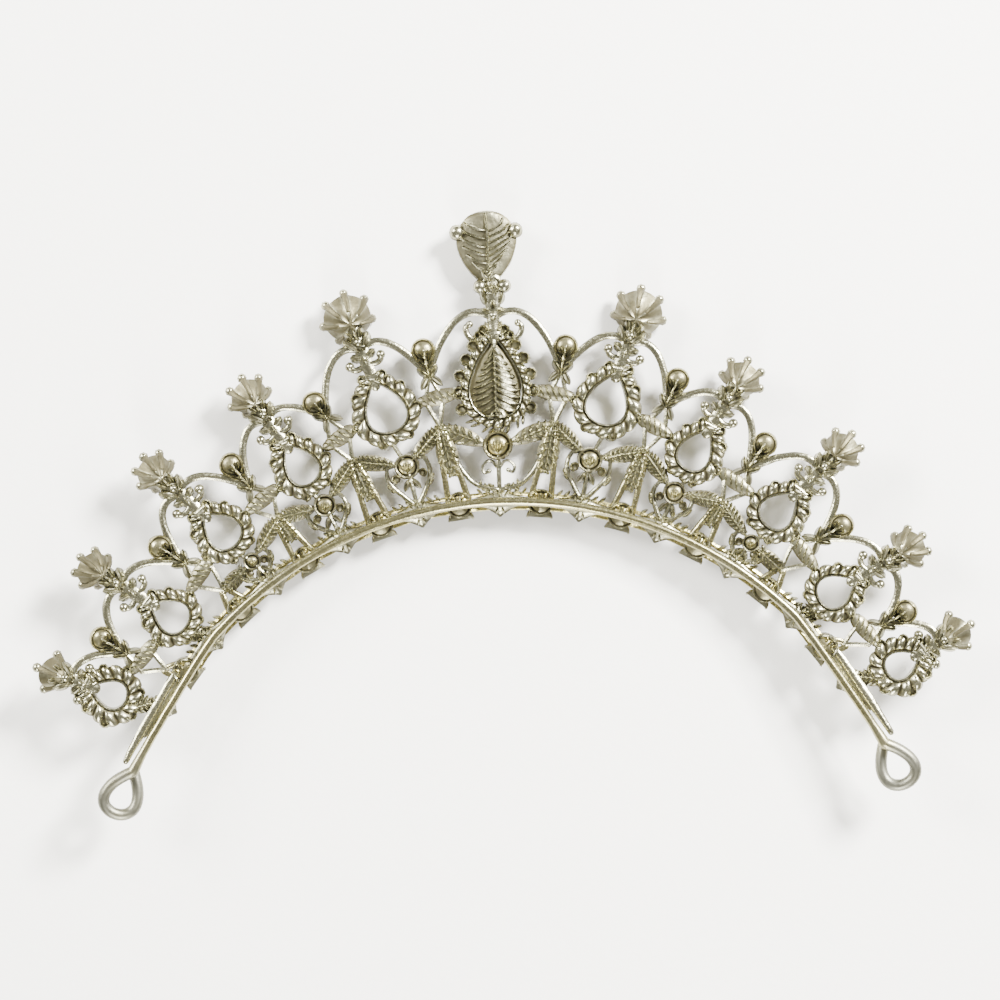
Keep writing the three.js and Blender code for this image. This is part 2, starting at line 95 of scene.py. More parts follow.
# Berry, fork, kite and waist between neighbouring motifs
BERRY_ANGLES = (7.3, 19.5, 30.6, 42.6, 54.8)
BERRY_REACHES = (25.4, 22.7, 19.3, 15.8, 13.7)
BERRY_SAGS = (0.1, -0.85, -0.13, 0.26, 0.22)
BERRY_RADIUS = 2.0
BERRY_RISE = 1.3
FORK_ANGLES = (7.1, 19.0, 30.2, 41.7, 54.6)
FORK_REACHES = (21.4, 19.2, 14.5, 11.5, 9.5)
WAIST_ANGLES = (6.8, 18.0, 29.4, 40.5, 53.5)
WAIST_REACHES = (12.8, 11.0, 8.0, 3.9, 2.6)
KITE_WIDTHS = (3.6, 4.2, 4.8, 4.6, 4.4)
KITE_LEAF_WIDTH = 2.6
KITE_BITE = 0.7
DOME_ANGLES = (11.7, 23.3, 35.2)
DOME_REACHES = (7.7, 6.2, 4.6)
DOME_RADII = (2.1, 1.9, 1.5)
DOME_RISE = 1.25

# Row on the front of the band
ROW_PITCH = 11.6
ROW_CUP_RADIUS = 2.2
ROW_DEPTH = 2.7
ROW_LEAF_LENGTH = 4.2
ROW_LEAF_WIDTH = 4.6
ROW_TOP_REACH = 1.2
BUD_WIDTHS = (3.6, 3.2, 2.8, 2.4, 2.4)
LEG_WIDTH = 1.05
FRINGE_PITCH = 1.0

# Bars, scrolls and stems
FRONT_DEPTH = 0.6
BORDER_RISE = 0.9
ARC_WIDTH = 1.3
CURL_REACH = 2.7
CURL_DROP = 2.7
TAIL_WIDTH = 1.5
TAIL_HALF_ANGLE = 67.0
CUP_DEPTH = 3.0
PRONG_RISE = 0.9
PRONG_WIDTH = 1.0
RIM_DEPTH = 1.5
STALK_WIDTH = 0.8
STALK_HEIGHT = 0.9
VEINED_WIDTH = 2.7
VEINED_END_WIDTH = 2.8
VEINED_RISE = 0.4
VEIN_LEAN = 48

# Middle motif
NECK_REACH = 30.3
TOP_PEAR_REACH = 40.9
TOP_PEAR_TURN = -0.35
TOP_PEAR_LENGTH = 12.0
TOP_PEAR_WIDTH = 9.6
TOP_PEAR_DEPTH = 3.4
TOP_PEAR_SHARPNESS = 0.55
MID_PEAR_REACH = 19.9
MID_PEAR_LENGTH = 12.8
MID_PEAR_WIDTH = 8.2
MID_PEAR_DEPTH = 2.2
PEAR_BACK = 1.1
MID_BORDER_WIDTH = 2.7
MID_HOOKS = 18
DROP_REACH = 9.1
DROP_RADIUS = 2.3

# Profiles of domed forms before their flat front: shares of the radius and of the rise, and how far patina
# and painted shade darken each step
DOME_PROFILE = ((0, 0.8, 0.3), (0.3, 0.78, 0.35), (0.5, 0.66, 0.5), (0.64, 0.4, 0.8), (0.72, 0.2, 1.0),
                (0.8, 0.62, 0.2), (0.9, 0.66, 0.05), (1, 0.2, 0.8))
BERRY_PROFILE = ((0, 1, 0.45), (0.4, 0.93, 0.5), (0.64, 0.72, 0.6), (0.76, 0.45, 1.0), (0.83, 0.62, 0.2),
                 (0.93, 0.5, 0.2))
# Painted shade on the flat fronts and edges that face the floor
FRONT_SHADE = 0.9

# Petals beside the middle neck: across, along, length, width, turn, rise, and the patina and painted shade
# on their crests
NECK_PETALS = ((1.35, 2.4, 2.3, 1.2, 20, 0.8, 0.05), (1.0, 0.4, 1.9, 1.2, 62, 0.95, 0.05),
               (1.05, -2.2, 2.1, 1.1, 14, 0.8, 0.2), (1.7, -3.6, 1.9, 1.3, 48, 0.8, 0.05))

# Surface finish of the pieces
CASTING_UNEVENNESS = 0.05
WIRE_UNEVENNESS = 0.02
WAVES = ((1.3, 0.9, 2.1), (0.8, 1.5, 1.7), (1.1, 1.2, 0.6))
SHARP_ANGLE = 48
MERGE_DISTANCE = 1e-7

# Metal and floor tones, and the studio
SILVER_TONES = ((0.37, 0.355, 0.245), (0.27, 0.262, 0.185))
SILVER_GOLDEN = (0.34, 0.30, 0.13)
# Dull brown of patina and of painted shade
SILVER_PATINA_AND_SHADE = (0.09, 0.08, 0.045)
WIRE_TONES = ((0.36, 0.33, 0.175), (0.28, 0.262, 0.155))
WIRE_PATINA = (0.15, 0.149, 0.125)
FLOOR_TONES = ((0.94, 0.93, 0.90), (0.97, 0.96, 0.93))
FLOOR_HALF = 5.0
WORLD_COLOUR = (0.82, 0.80, 0.70)
WORLD_STRENGTH = 0.6
LAMP_COLOUR = (1.0, 0.99, 0.95)
LAMPS = {
    "key": ((0.42, 0.36, 0.42), (0.18, 0.18), 34.0),
    "side": ((-0.55, 0.35, 0.42), (0.3, 0.3), 16.0),
    "low": ((0.0, -0.65, 0.36), (0.4, 0.2), 11.0),
}
CAMERA_LENS = 85
CAMERA_PLACE = (-0.0050, 0.0066, 0.3841)
CAMERA_TURN = (-0.823, -0.795, -2.067)


def at(angle, reach, height=0.0):
    """A point by its angle from the middle of the band and its reach outside the band wire."""
    radians = math.radians(angle)
    radius = BAND_RADIUS + reach
    return np.array([radius * math.sin(radians), radius * math.cos(radians), height])


# Where the plan lies in the frame: its top is the top pear's round end
PLAN_X = 0.05
PLAN_Y = cad_high.y / MM - at(TOP_PEAR_TURN, TOP_PEAR_REACH + TOP_PEAR_LENGTH / 2)[1]
PLAN_Z = 3.27


def wire_reach(angle):
    """How far outside its arc the wire's middle line runs at an angle: inside it towards the ends."""
    share = (abs(angle) - STRAIGHT_START) / (WIRE_HALF_ANGLE - STRAIGHT_START)
    return -STRAIGHT_INSET * math.sin(math.pi * min(1, max(0, share)))


def unit(vector):
    return vector / np.linalg.norm(vector)


def lerp(start, end, share):
    return start + (end - start) * share


class Spot:
    """A motif's own frame: across it, along it towards its target, and up."""

    def __init__(self, origin, target, side=1):
        gap = (target - origin) * np.array([1.0, 1.0, 0.0])
        self.origin = origin
        self.length = np.linalg.norm(gap)
        self.along = gap / self.length
        self.across = side * np.array([self.along[1], -self.along[0], 0.0])

    def place(self, u, v, z=0.0):
        u, v, z = np.broadcast_arrays(u, v, z)
        return self.origin + u[..., None] * self.across + v[..., None] * self.along + z[..., None] * UP


def upright(angle, reach):
    """The frame of a motif that points straight out from the band."""
    return Spot(at(angle, reach), at(angle, reach + 1))


# A point by its distance from the tiara's middle line and its reach outside the band wire
middle_at = upright(0, 0).place


class Surface:
    """The closed surfaces of one piece. Each point notes how far patina and painted shade darken it, and
    whether it is grey or golden.
    """

    def __init__(self):
        self.points = []
        self.faces = []
        self.patina_and_shade = []
        self.gold = []
        self.count = 0

    def add(self, points, patina_and_shade=0.4, gold=0.0, closed=False):
        """A grid of rings: the rows run along the form and the columns round it."""
        rows, columns = points.shape[:2]
        index = self.count + np.arange(rows * columns).reshape(rows, columns)
        low = index if closed else index[:-1]
        high = np.roll(index, -1, 0) if closed else index[1:]
        quads = np.stack([low, np.roll(low, -1, 1), np.roll(high, -1, 1), high], -1)
        self.faces += quads.reshape(-1, 4).tolist()
        if not closed:
            self.faces += [index[0].tolist()[::-1], index[-1].tolist()]
        self.points.append(points.reshape(-1, 3))
        self.patina_and_shade.append(np.broadcast_to(patina_and_shade, (rows, columns)).ravel())
        self.gold.append(np.broadcast_to(gold, (rows, columns)).ravel())
        self.count += rows * columns


def spline(points, steps):
    """A smooth line through the points, with steps to each stretch."""
    points = np.asarray(points, float)
    padded = np.vstack([2 * points[0] - points[1], points, 2 * points[-1] - points[-2]])
    shares = np.arange(steps)[:, None] / steps
    stretches = []
    for a, b, c, d in zip(padded, padded[1:], padded[2:], padded[3:]):
        stretches.append(0.5 * (
            2 * b + (c - a) * shares
            + (2 * a - 5 * b + 4 * c - d) * shares ** 2
            + (3 * b - a - 3 * c + d) * shares ** 3
        ))
    return np.vstack([*stretches, points[-1:]])


def bow(start, end, bulge, steps=18):
    """A bow that leaves its start outwards and falls to its end."""
    chord = end - start
    out = np.array([-chord[1], chord[0], 0.0])
    first = start + chord * 0.08 + out * bulge * 1.6
    second = end - chord * 0.5 + out * bulge * 1.4
    t = np.linspace(0, 1, steps + 1)[:, None]
    rest = 1 - t
    return rest ** 3 * start + 3 * rest ** 2 * t * first + 3 * rest * t ** 2 * second + t ** 3 * end


def section(sides):
    """The turns of the points round a bar, and the painted shade on them: bright on top and dark below."""
    turns = (np.arange(sides) + 0.5) / sides * 2 * math.pi
    return turns, np.clip(1.0 - 1.25 * np.sin(turns), 0, 1)[None, :]


def tube(surface, path, width, height=None, sides=8, up=UP, gold=0.0, lift=0.0):
    """A round or oval bar along a path, with rounded ends."""
    path = np.asarray(path, float) + lift * UP
    width = np.broadcast_to(width, len(path)).astype(float)
    height = width if height is None else np.broadcast_to(height, len(path)).astype(float)
    along = np.gradient(path, axis=0)
    along /= np.linalg.norm(along, axis=1)[:, None]
    first, last = along[0] * width[0] / 2, along[-1] * width[-1] / 2
    path = np.vstack([path[0] - first, path[0] - 0.7 * first, path, path[-1] + 0.7 * last, path[-1] + last])
    along = np.vstack([along[:1], along[:1], along, along[-1:], along[-1:]])
    ends = np.ones(len(path))
    ends[[0, 1, -2, -1]] = (0.05, 0.71, 0.71, 0.05)
    width = np.pad(width, 2, mode="edge") * ends
    height = np.pad(height, 2, mode="edge") * ends
    across = np.cross(along, up)
    across /= np.linalg.norm(across, axis=1)[:, None]
    above = np.cross(across, along)
    # Painted shade on the bar's lower side
    turns, patina_and_shade = section(sides)
    points = (
        path[:, None]
        + across[:, None] * (width[:, None] / 2 * np.cos(turns))[..., None]
        + above[:, None] * (height[:, None] / 2 * np.sin(turns))[..., None]
    )
    surface.add(points, patina_and_shade, gold)


def bar(surface, start, end, width, height, sides, gold=0.0, lift=0.0):
    """A straight bar between two points."""
    tube(surface, [start, (start + end) / 2, end], width, height, sides, gold=gold, lift=lift)


def closed_tube(surface, path, width, height, sides=7):
    """A round or oval bar along a closed path."""
    along = np.roll(path, -1, 0) - np.roll(path, 1, 0)
    along /= np.linalg.norm(along, axis=1)[:, None]
    across = np.cross(along, UP)
    # Painted shade on the bar's lower side
    turns, patina_and_shade = section(sides)
    points = (
        path[:, None]
        + across[:, None] * (width / 2 * np.cos(turns))[None, :, None]
        + UP * (height / 2 * np.sin(turns))[None, :, None]
    )
    surface.add(points, patina_and_shade, closed=True)


def turned(surface, centre, profile, sides=16, gold=0.0):
    """A round form from (radius, height, patina and painted shade) steps, from one pole to the other."""
    radii, heights, patina_and_shade = np.array(profile, float).T
    turns = np.arange(sides) / sides * 2 * math.pi
    points = (
        centre
        + ACROSS * (radii[:, None] * np.cos(turns))[..., None]
        + AHEAD * (radii[:, None] * np.sin(turns))[..., None]
        + UP * heights[:, None, None]
    )
    surface.add(points, np.broadcast_to(patina_and_shade[:, None], points.shape[:2]), gold)


def flat_front(radius):
    """The last steps of a domed form's profile: its edge on the front, and the front's middle."""
    return [(radius, -FRONT_DEPTH, FRONT_SHADE), (0, -FRONT_DEPTH, FRONT_SHADE)]


def ball(surface, centre, radius, sides=10):
    """A small bead, darkened towards its foot by painted shade."""
    profile = [(radius * math.sin(t), radius * math.cos(t), min(1, max(0, 0.95 - 1.2 * math.cos(t))))
               for t in np.linspace(0, math.pi, 6)]
    turned(surface, centre, profile, sides)


def rimmed_dome(surface, centre, radius, back, sides=26, gold=0.3):
    """The domed back of a cup, with grains on it and a groove and a fine rim round it."""
    profile = [(radius * share, back * rise, patina_and_shade) for share, rise, patina_and_shade in DOME_PROFILE]
    turned(surface, centre, profile + flat_front(radius * 0.97), sides, gold)
    place = Spot(centre, centre + AHEAD).place
    for aside in (-2, -1, 0, 1, 2):
        crown = back * (0.76 - 0.05 * abs(aside))
        grain(surface, place, aside * radius * 0.17, -radius * 0.12, radius * 0.95, radius * 0.17,
              aside * 20, 0.35, crown, gold)


# Steps along and across a grain, and across a petal with its height there: shares of its rise, and its depth
GRAIN_ALONG = np.array([-1.0, -0.7, 0.0, 0.7, 1.0])[:, None]
GRAIN_ACROSS = np.array([-1.0, -0.5, 0.0, 0.5, 1.0])[None, :]
PETAL_ACROSS = np.array([-1.0, -0.85, -0.45, 0.0, 0.45, 0.85, 1.0])[None, :]
PETAL_RISES = np.array([-FRONT_DEPTH, 0.3, 0.95, 0.62, 0.95, 0.3, -FRONT_DEPTH])[None, :]


def leaned(place, u, v, turn, across, along, height):
    """Points given across and along a small form that stands at (u, v), at a turn to its frame."""
    sine, cosine = math.sin(math.radians(turn)), math.cos(math.radians(turn))
    return place(u + along * sine + across * cosine, v + along * cosine - across * sine, height)


def grain(surface, place, u, v, length, width, turn, rise, base=0.0, gold=0.0):
    """A raised grain, pointed at both ends, at a turn to its frame."""
    taper = np.sqrt(1.04 - GRAIN_ALONG ** 2)
    across = GRAIN_ACROSS * taper * width / 2
    height = base + rise * taper * (1 - GRAIN_ACROSS ** 2)
    points = leaned(place, u, v, turn, across, GRAIN_ALONG * length / 2, height)
    # Painted shade darkens the grain's sides; its crest keeps the metal's tone.
    surface.add(points, 0.9 * GRAIN_ACROSS ** 4 + 0 * taper, gold)


def hook(surface, place, u, v, radius, turn, sweep=250, rise=0.8):
    """A small dished cup: a rim that is open on one side, round a sunken floor."""
    angles = np.radians(turn + np.linspace(-sweep / 2, sweep / 2, 7))
    line = radius * 0.76
    path = place(u + line * np.sin(angles), v + line * np.cos(angles), rise * 0.4)
    tube(surface, path, radius * 0.44, rise * 1.35, sides=6)
    # Patina and painted shade darken the sunken floor, most at its edge.
    profile = [(0, 0.3, 0.55), (radius * 0.45, 0.22, 0.75), (radius * 0.8, -0.1, 0.9)]
    turned(surface, place(u, v, 0.0), profile + flat_front(radius * 0.8), 9)


def petal(surface, place, u, v, length, width, turn, rise=0.6, patina_and_shade=0.05):
    """A small smooth leaf with a groove down its middle, longer than wide."""
    t = np.linspace(-1, 1, 7)[:, None]
    taper = np.sqrt(np.maximum(1.02 - t ** 2, 0))
    across = PETAL_ACROSS * taper * width / 2
    height = np.where(PETAL_RISES > 0, PETAL_RISES * rise * taper, PETAL_RISES + 0 * taper)
    # Painted shade darkens the petal's edges and its middle groove.
    shade = np.array([0.9, 0.6, patina_and_shade, 0.75, patina_and_shade, 0.6, 0.9])[None, :]
    surface.add(leaned(place, u, v, turn, across, t * length / 2, height), shade + 0 * taper)


def pit(surface, place, u, v, radius=0.3):
    """A small shallow pit with a bright lip; painted shade makes its floor dark."""
    profile = [(0, 0.62, 1.0), (radius * 0.6, 0.62, 1.0), (radius * 0.95, 0.86, 0.0),
               (radius * 1.5, 0.5, 0.4), (radius * 1.5, -0.2, 0.9), (0, -0.2, 0.9)]
    turned(surface, place(u, v, 0.0), profile, 8)


def almond(width, power=0.8):
    """The half width of a leaf that is pointed at both ends."""
    return lambda t: np.maximum(width / 2 * np.sin(math.pi * np.clip(t, 0, 1) ** 0.85) ** power, 0.02)


def leaf_base(surface, place, start, length, half, rise, depth=FRONT_DEPTH, rows=10, columns=7, shade=0.55):
    """A plain crowned leaf. half gives its half width along its length."""
    t = np.linspace(0, 1, rows)[:, None]
    s = np.linspace(-1, 1, columns)[None, :]
    widths = half(t)
    top = rise * (1 - 0.8 * s ** 2) * np.minimum(1, widths / (0.5 * widths.max())) ** 0.7
    v = start + t * length
    upper = place(s * widths, v + 0 * s, top)
    edge = place(np.hstack([widths, -widths]), np.hstack([v, v]), -depth)
    # Painted shade: darker towards the leaf's sides, and dark on its edges.
    patina_and_shade = np.hstack([shade + 0.35 * s ** 4 + 0 * t, np.full((rows, 2), FRONT_SHADE)])
    surface.add(np.concatenate([upper, edge], 1), patina_and_shade)


def herringbone(surface, place, start, length, half, count, turn_back=False):
    """A leaf whose veins stand up as two rows of slanting grains beside a midrib."""
    leaf_base(surface, place, start, length, half, VEINED_RISE)
    midrib = np.linspace(0.04, 0.96, 5)
    tube(surface, place(0 * midrib, start + midrib * length, VEINED_RISE), 0.38, 0.6, sides=6)
    angle = 180 - VEIN_LEAN if turn_back else VEIN_LEAN
    for index in range(count):
        share = (index + 0.5) / count
        wide = float(half(share))
        if wide < 0.4:
            continue
        ahead = -wide * 0.3 if turn_back else wide * 0.3
        for side in (1, -1):
            grain(surface, place, side * wide * 0.56, start + share * length + ahead, wide * 1.25,
                  min(0.66, length / count * 0.7), side * angle, 0.75, VEINED_RISE * 0.4)


def vine(surface, points, width, count):
    """A curved spine with slanting grains to both sides."""
    path = spline(points, 6)
    tube(surface, path, 0.5, 0.85, sides=6)
    for pick in np.linspace(0.08, 0.9, count) * (len(path) - 1):
        low = int(pick)
        here = lerp(path[low], path[low + 1], pick - low)
        spot = Spot(here, here + path[low + 1] - path[low])
        for side in (1, -1):
            grain(surface, spot.place, side * width * 0.32, 0.15, width * 0.66, 0.48, side * 50, 0.55)


def pear(turn, length, width, sharpness):
    """The outline of a pear, which starts at its tip. A sharper pear is narrower near its tip."""
    share = (sharpness + 1) / (sharpness + 2)
    widest = 2 * math.sqrt(1 - share) * share ** ((sharpness + 1) / 2)
    across = width / 2 / widest * np.sin(turn) * np.abs(np.sin(turn / 2)) ** sharpness
    return across, length / 2 * np.cos(turn)


def pear_edge(turn, length, width):
    """A point of a ring's outline and the direction out of it."""
    u, v = pear(turn, length, width, RING_SHARPNESS)
    next_u, next_v = pear(turn + 0.02, length, width, RING_SHARPNESS)
    slope = np.hypot(next_u - u, next_v - v)
    return u, v, (v - next_v) / slope, (next_u - u) / slope


def pear_half(length, width, sharpness, tip_first):
    """The half width of a pear as a function of the share of its length."""
    turns = np.linspace(0, math.pi, 200)
    u, v = pear(turns, length, width, sharpness)
    shares = 0.5 - v / length
    return lambda t: np.maximum(np.interp(t if tip_first else 1 - t, shares, u), 0.05)


# Steps of one gadroon round its ring, and of the border from its inner lip to its outer edge
LOBE_STEPS = np.array([0.0, 0.5, 0.8, 0.96, 1.0, 0.96, 0.8, 0.5])
BORDER_SHARES = np.array([0.0, 0.03, 0.12, 0.17, 0.3, 0.5, 0.7, 0.88, 1.0, 0.97])
BORDER_ARCH = np.array([-1.0, 0.75, 0.8, 0.25, 0.8, 1.0, 0.95, 0.66, 0.2, -1.0])
BORDER_CUT = np.array([0.0, 0.0, 0.0, 0.2, 0.7, 1.0, 1.0, 1.0, 1.0, 0.0])


def gadroons(surface, place, length, width, thickness, flare, lobes, slant):
    """A pear-shaped band: a thin inner lip, then round lobes that slant to a scalloped outer edge."""
    columns = lobes * len(LOBE_STEPS)
    lobe = np.tile(LOBE_STEPS, lobes)[:, None]
    turn = (np.arange(columns) / columns * 2 * math.pi)[:, None] - BORDER_SHARES * slant / lobes
    u, v, out_u, out_v = pear_edge(turn, length, width)
    edge = (thickness + np.maximum(0, out_u) * flare) * (1 - 0.14 * (1 - lobe))
    reach = edge * BORDER_SHARES
    arch = np.where(BORDER_ARCH > 0, BORDER_ARCH * BORDER_RISE, -FRONT_DEPTH)
    height = arch - BORDER_CUT * (1 - lobe) * 0.75 * np.maximum(arch, 0.3)
    # Patina and painted shade darken the creases between the lobes, and the low lip and edge.
    patina_and_shade = np.clip(0.02 + BORDER_CUT * (1 - lobe) * 1.5 + np.where(arch < 0.3, 0.8, 0), 0, 1)
    surface.add(place(u + out_u * reach, v + out_v * reach, height), patina_and_shade, closed=True)


def border(surface, place, index):
    """A side ring: its gadroons, and the small open cups along its edge."""
    length, width, thickness = RING_LENGTHS[index], RING_WIDTHS[index], BORDER_WIDTHS[index]
    gadroons(surface, place, length, width, thickness * 0.95, BORDER_FLARE, RING_LOBES, -3.6)
    for step in range(RING_HOOKS):
        turn = (step + 0.45) / RING_HOOKS * 2 * math.pi
        u, v, out_u, out_v = pear_edge(turn, length, width)
        outer = max(0.0, out_u)
        radius = 0.92 + 0.16 * outer
        reach = thickness - radius * 0.72 + outer * BORDER_FLARE
        facing = math.degrees(math.atan2(out_u, out_v))
        hook(surface, place, u + out_u * reach, v + out_v * reach, radius, facing, sweep=215 + 45 * outer)


def claw_cup(surface, mouth, front, across, rim, span, prongs):
    """A star-shaped cup, mouth to the front: sunken webs between ridges that end in round prongs."""
    second = unit(np.cross(front, across))
    first = unit(np.cross(second, front))
    columns = prongs * 8
    turn = np.arange(columns) / columns * 2 * math.pi
    rib = (0.5 + 0.5 * np.cos(prongs * turn)) ** 2
    web = rim * 1.1
    tips = span / 2 - 0.6
    share = np.array([0.0, 0.16, 0.34, 0.52, 0.7, 0.86, 1.0])[:, None]
    radius = share * (web + (tips - web) * 0.55 * rib)
    height = -CUP_DEPTH * (1 - share ** 2) - 0.4 * rib * np.sin(share * math.pi) ** 0.7 + 0.15 * share
    inner = np.array([0.94, 0.6, 0.0])[:, None]
    radius = np.vstack([radius, inner * web * 0.96 + 0 * rib])
    height = np.vstack([height, -(CUP_DEPTH - 0.9) * (1 - inner) + 0.3 * inner + 0.15 + 0 * rib])
    points = (
        mouth
        + first * (radius * np.cos(turn))[..., None]
        + second * (radius * np.sin(turn))[..., None]
        + front * height[..., None]
    )
    # Painted shade darkens the webs between the ridges and the inside of the cup; the ridges stay lighter.
    inside = np.full((len(inner), columns), 0.95)
    patina_and_shade = np.vstack([np.clip(1.1 - 0.6 * rib - 0.25 * share, 0, 1), inside])
    surface.add(points, patina_and_shade)
    prong = ((web * 0.5, -CUP_DEPTH * 0.8), (web * 0.8, -CUP_DEPTH * 0.45), (web, -0.2),
             (tips + 0.02, PRONG_RISE * 0.72))
    for index in range(prongs):
        middle = index / prongs * 2 * math.pi
        ray = first * math.cos(middle) + second * math.sin(middle)
        path = spline([mouth + ray * out + front * ahead for out, ahead in prong], 2)
        tube(surface, path, np.linspace(0.7, PRONG_WIDTH * 1.35, len(path)), sides=7, up=front)
        ball(surface, path[-1] + ray * 0.05, 0.8, 8)


def scroll(surface, place, side, points, lift, widths, height):
    """A curled bar through (across, along) points on one side of its frame. It gives back its end."""
    path = spline([place(side * u, v, lift) for u, v in points], 4)
    tube(surface, path, np.linspace(*widths, len(path)), height, sides=8)
    return path[-1]


def side_motif(surface, index, side):
    """Ring, stem with its knots and curls, and claw cup."""
    ring = at(side * RING_ANGLES[index], RING_REACHES[index])
    claw = at(side * CLAW_ANGLES[index], CLAW_REACHES[index]) - np.array([0, side * CLAW_SAGS[index], 0])
    spot = Spot(ring, claw, side)
    tilt = math.radians(CLAW_TILTS[index])
    front = spot.along * math.sin(tilt) - UP * math.cos(tilt)
    tip = RING_LENGTHS[index] / 2
    neck = tip + (spot.length - tip) * 0.5
    top = spot.length - CUP_DEPTH * math.sin(tilt)
    border(surface, spot.place, index)
    curl = [(0.3, 0.3), (CURL_REACH * 0.5, 0.0), (CURL_REACH * 0.85, 0.2), (CURL_REACH, 0.95)]
    curl_place = Spot(spot.place(0, neck - CURL_DROP), claw, side).place
    for hand in (-1, 1):
        ball(surface, scroll(surface, curl_place, hand, curl, 0.05, (0.95, 1.1), 1.1), 0.8)
    stem_knots(surface, spot, tip, neck, top)
    claw_cup(surface, claw - UP * RIM_DEPTH, front, spot.across, CLAW_RIMS[index], CLAW_SPANS[index],
             CLAW_PRONGS[index])
    return spot.place(0, neck)


def stem_knots(surface, spot, tip, neck, top):
    """The stem from a ring to its claw: a rod, a knob with two pits, and leaflets to both sides."""
    place = spot.place
    rod = [place(0, v, 0.1) for v in (tip - 0.4, neck - 1.2, neck + 0.8, top)]
    tube(surface, spline(rod, 3), (1.9, 2.0, 2.1, 2.2, 2.3, 2.4, 2.4, 2.3, 2.2, 2.0), 1.1, sides=8)
    # Across, along, length, width, turn and rise
    leaflets = (
        (0.95, tip + 0.8, 2.3, 1.35, 30, 0.95),
        (1.2, neck - 0.95, 2.1, 1.5, 62, 1.0),
        (1.35, neck + 1.35, 2.9, 1.7, 36, 1.05),
        (0.95, neck + 2.8, 2.2, 1.3, 22, 1.1),
    )
    for side in (1, -1):
        for across, along, length, width, turn, rise in leaflets:
            petal(surface, place, side * across, along, length, width, side * turn, rise)
        pit(surface, place, side * 0.42, neck + 0.15)
    ball(surface, place(0, neck + 1.35, 0.75), 0.7)
    grain(surface, place, 0, neck + 2.7, 2.2, 0.8, 0, 0.8, 0.6)
    grain(surface, place, 0, neck - 1.6, 1.6, 0.8, 0, 0.6, 0.5)


def border_edge(index, target, side):
    """The point in a ring's border, or the middle pear's, that is nearest to another point."""
    if index < 0:
        centre = at(0, MID_PEAR_REACH)
        reach = MID_PEAR_WIDTH / 2 + MID_BORDER_WIDTH - KITE_BITE
    else:
        centre = at(side * RING_ANGLES[index], RING_REACHES[index])
        outside = side * target[0] > side * centre[0]
        reach = RING_WIDTHS[index] / 2 + BORDER_WIDTHS[index] - KITE_BITE + (BORDER_FLARE if outside else 0)
    return centre + unit(target - centre) * reach


def berry_with_sprig(surface, fork, berry):
    """A round berry with a grooved rim, and its sprig of leaflets from a fork."""
    profile = [(BERRY_RADIUS * share, BERRY_RISE * rise, patina_and_shade) for share, rise, patina_and_shade in BERRY_PROFILE]
    profile += [(BERRY_RADIUS, 0.1, 0.7), *flat_front(BERRY_RADIUS * 0.96)]
    turned(surface, berry, profile, 26, gold=0.45)
    sprig = Spot(fork, berry)
    tip = sprig.length - 0.1
    stalk = [sprig.place(0, v, height) for v, height in ((-0.4, 0.4), (tip * 0.5, 0.95), (tip, 1.5))]
    tube(surface, stalk, 0.42, 0.6, sides=6)
    leaflets = ((tip - 0.6, 1.9, 26, 1.95), (tip - 1.9, 2.5, 36, 1.75), (0.5, 2.5, 40, 1.35))
    for aside in (1, -1):
        for v, size, turn, rise in leaflets:
            petal(surface, sprig.place, aside * size * 0.34, v, size, 1.2, aside * turn, rise)
        petal(surface, sprig.place, aside * 0.95, -1.0, 2.7, 1.2, aside * 142, 0.7, 0.35)


def junction(surface, index, side):
    """Berry with its sprig, fork, waist, and the kite with its leaf between two motifs."""
    fork = at(side * FORK_ANGLES[index], FORK_REACHES[index])
    waist = at(side * WAIST_ANGLES[index], WAIST_REACHES[index])
    sag = side * BERRY_SAGS[index] * AHEAD
    berry_with_sprig(surface, fork, at(side * BERRY_ANGLES[index], BERRY_REACHES[index]) - sag)
    kite = Spot(waist, fork, side)
    half = KITE_WIDTHS[index] / 2 - 0.35
    middle = kite.place(0, kite.length / 2)
    corners = [kite.place(0, 0), kite.place(-half, kite.length / 2), kite.place(0, kite.length),
               kite.place(half, kite.length / 2)]
    for start, end in zip(corners, corners[1:] + corners[:1]):
        bar(surface, start, end, 0.85, 0.95, 6, lift=-0.05)
    drum = Spot(border_edge(index - 1, middle, side), border_edge(index, middle, side))
    half_drum = almond(KITE_LEAF_WIDTH, 0.5)
    leaf_base(surface, drum.place, 0, drum.length, half_drum, 0.65, shade=0.6)
    for step in range(7):
        share = (step + 0.6) / 7.2
        wide = float(half_drum(share))
        grain(surface, drum.place, 0, share * drum.length, 2.0 * wide, 0.55, 58, 0.6, 0.35)
    return fork


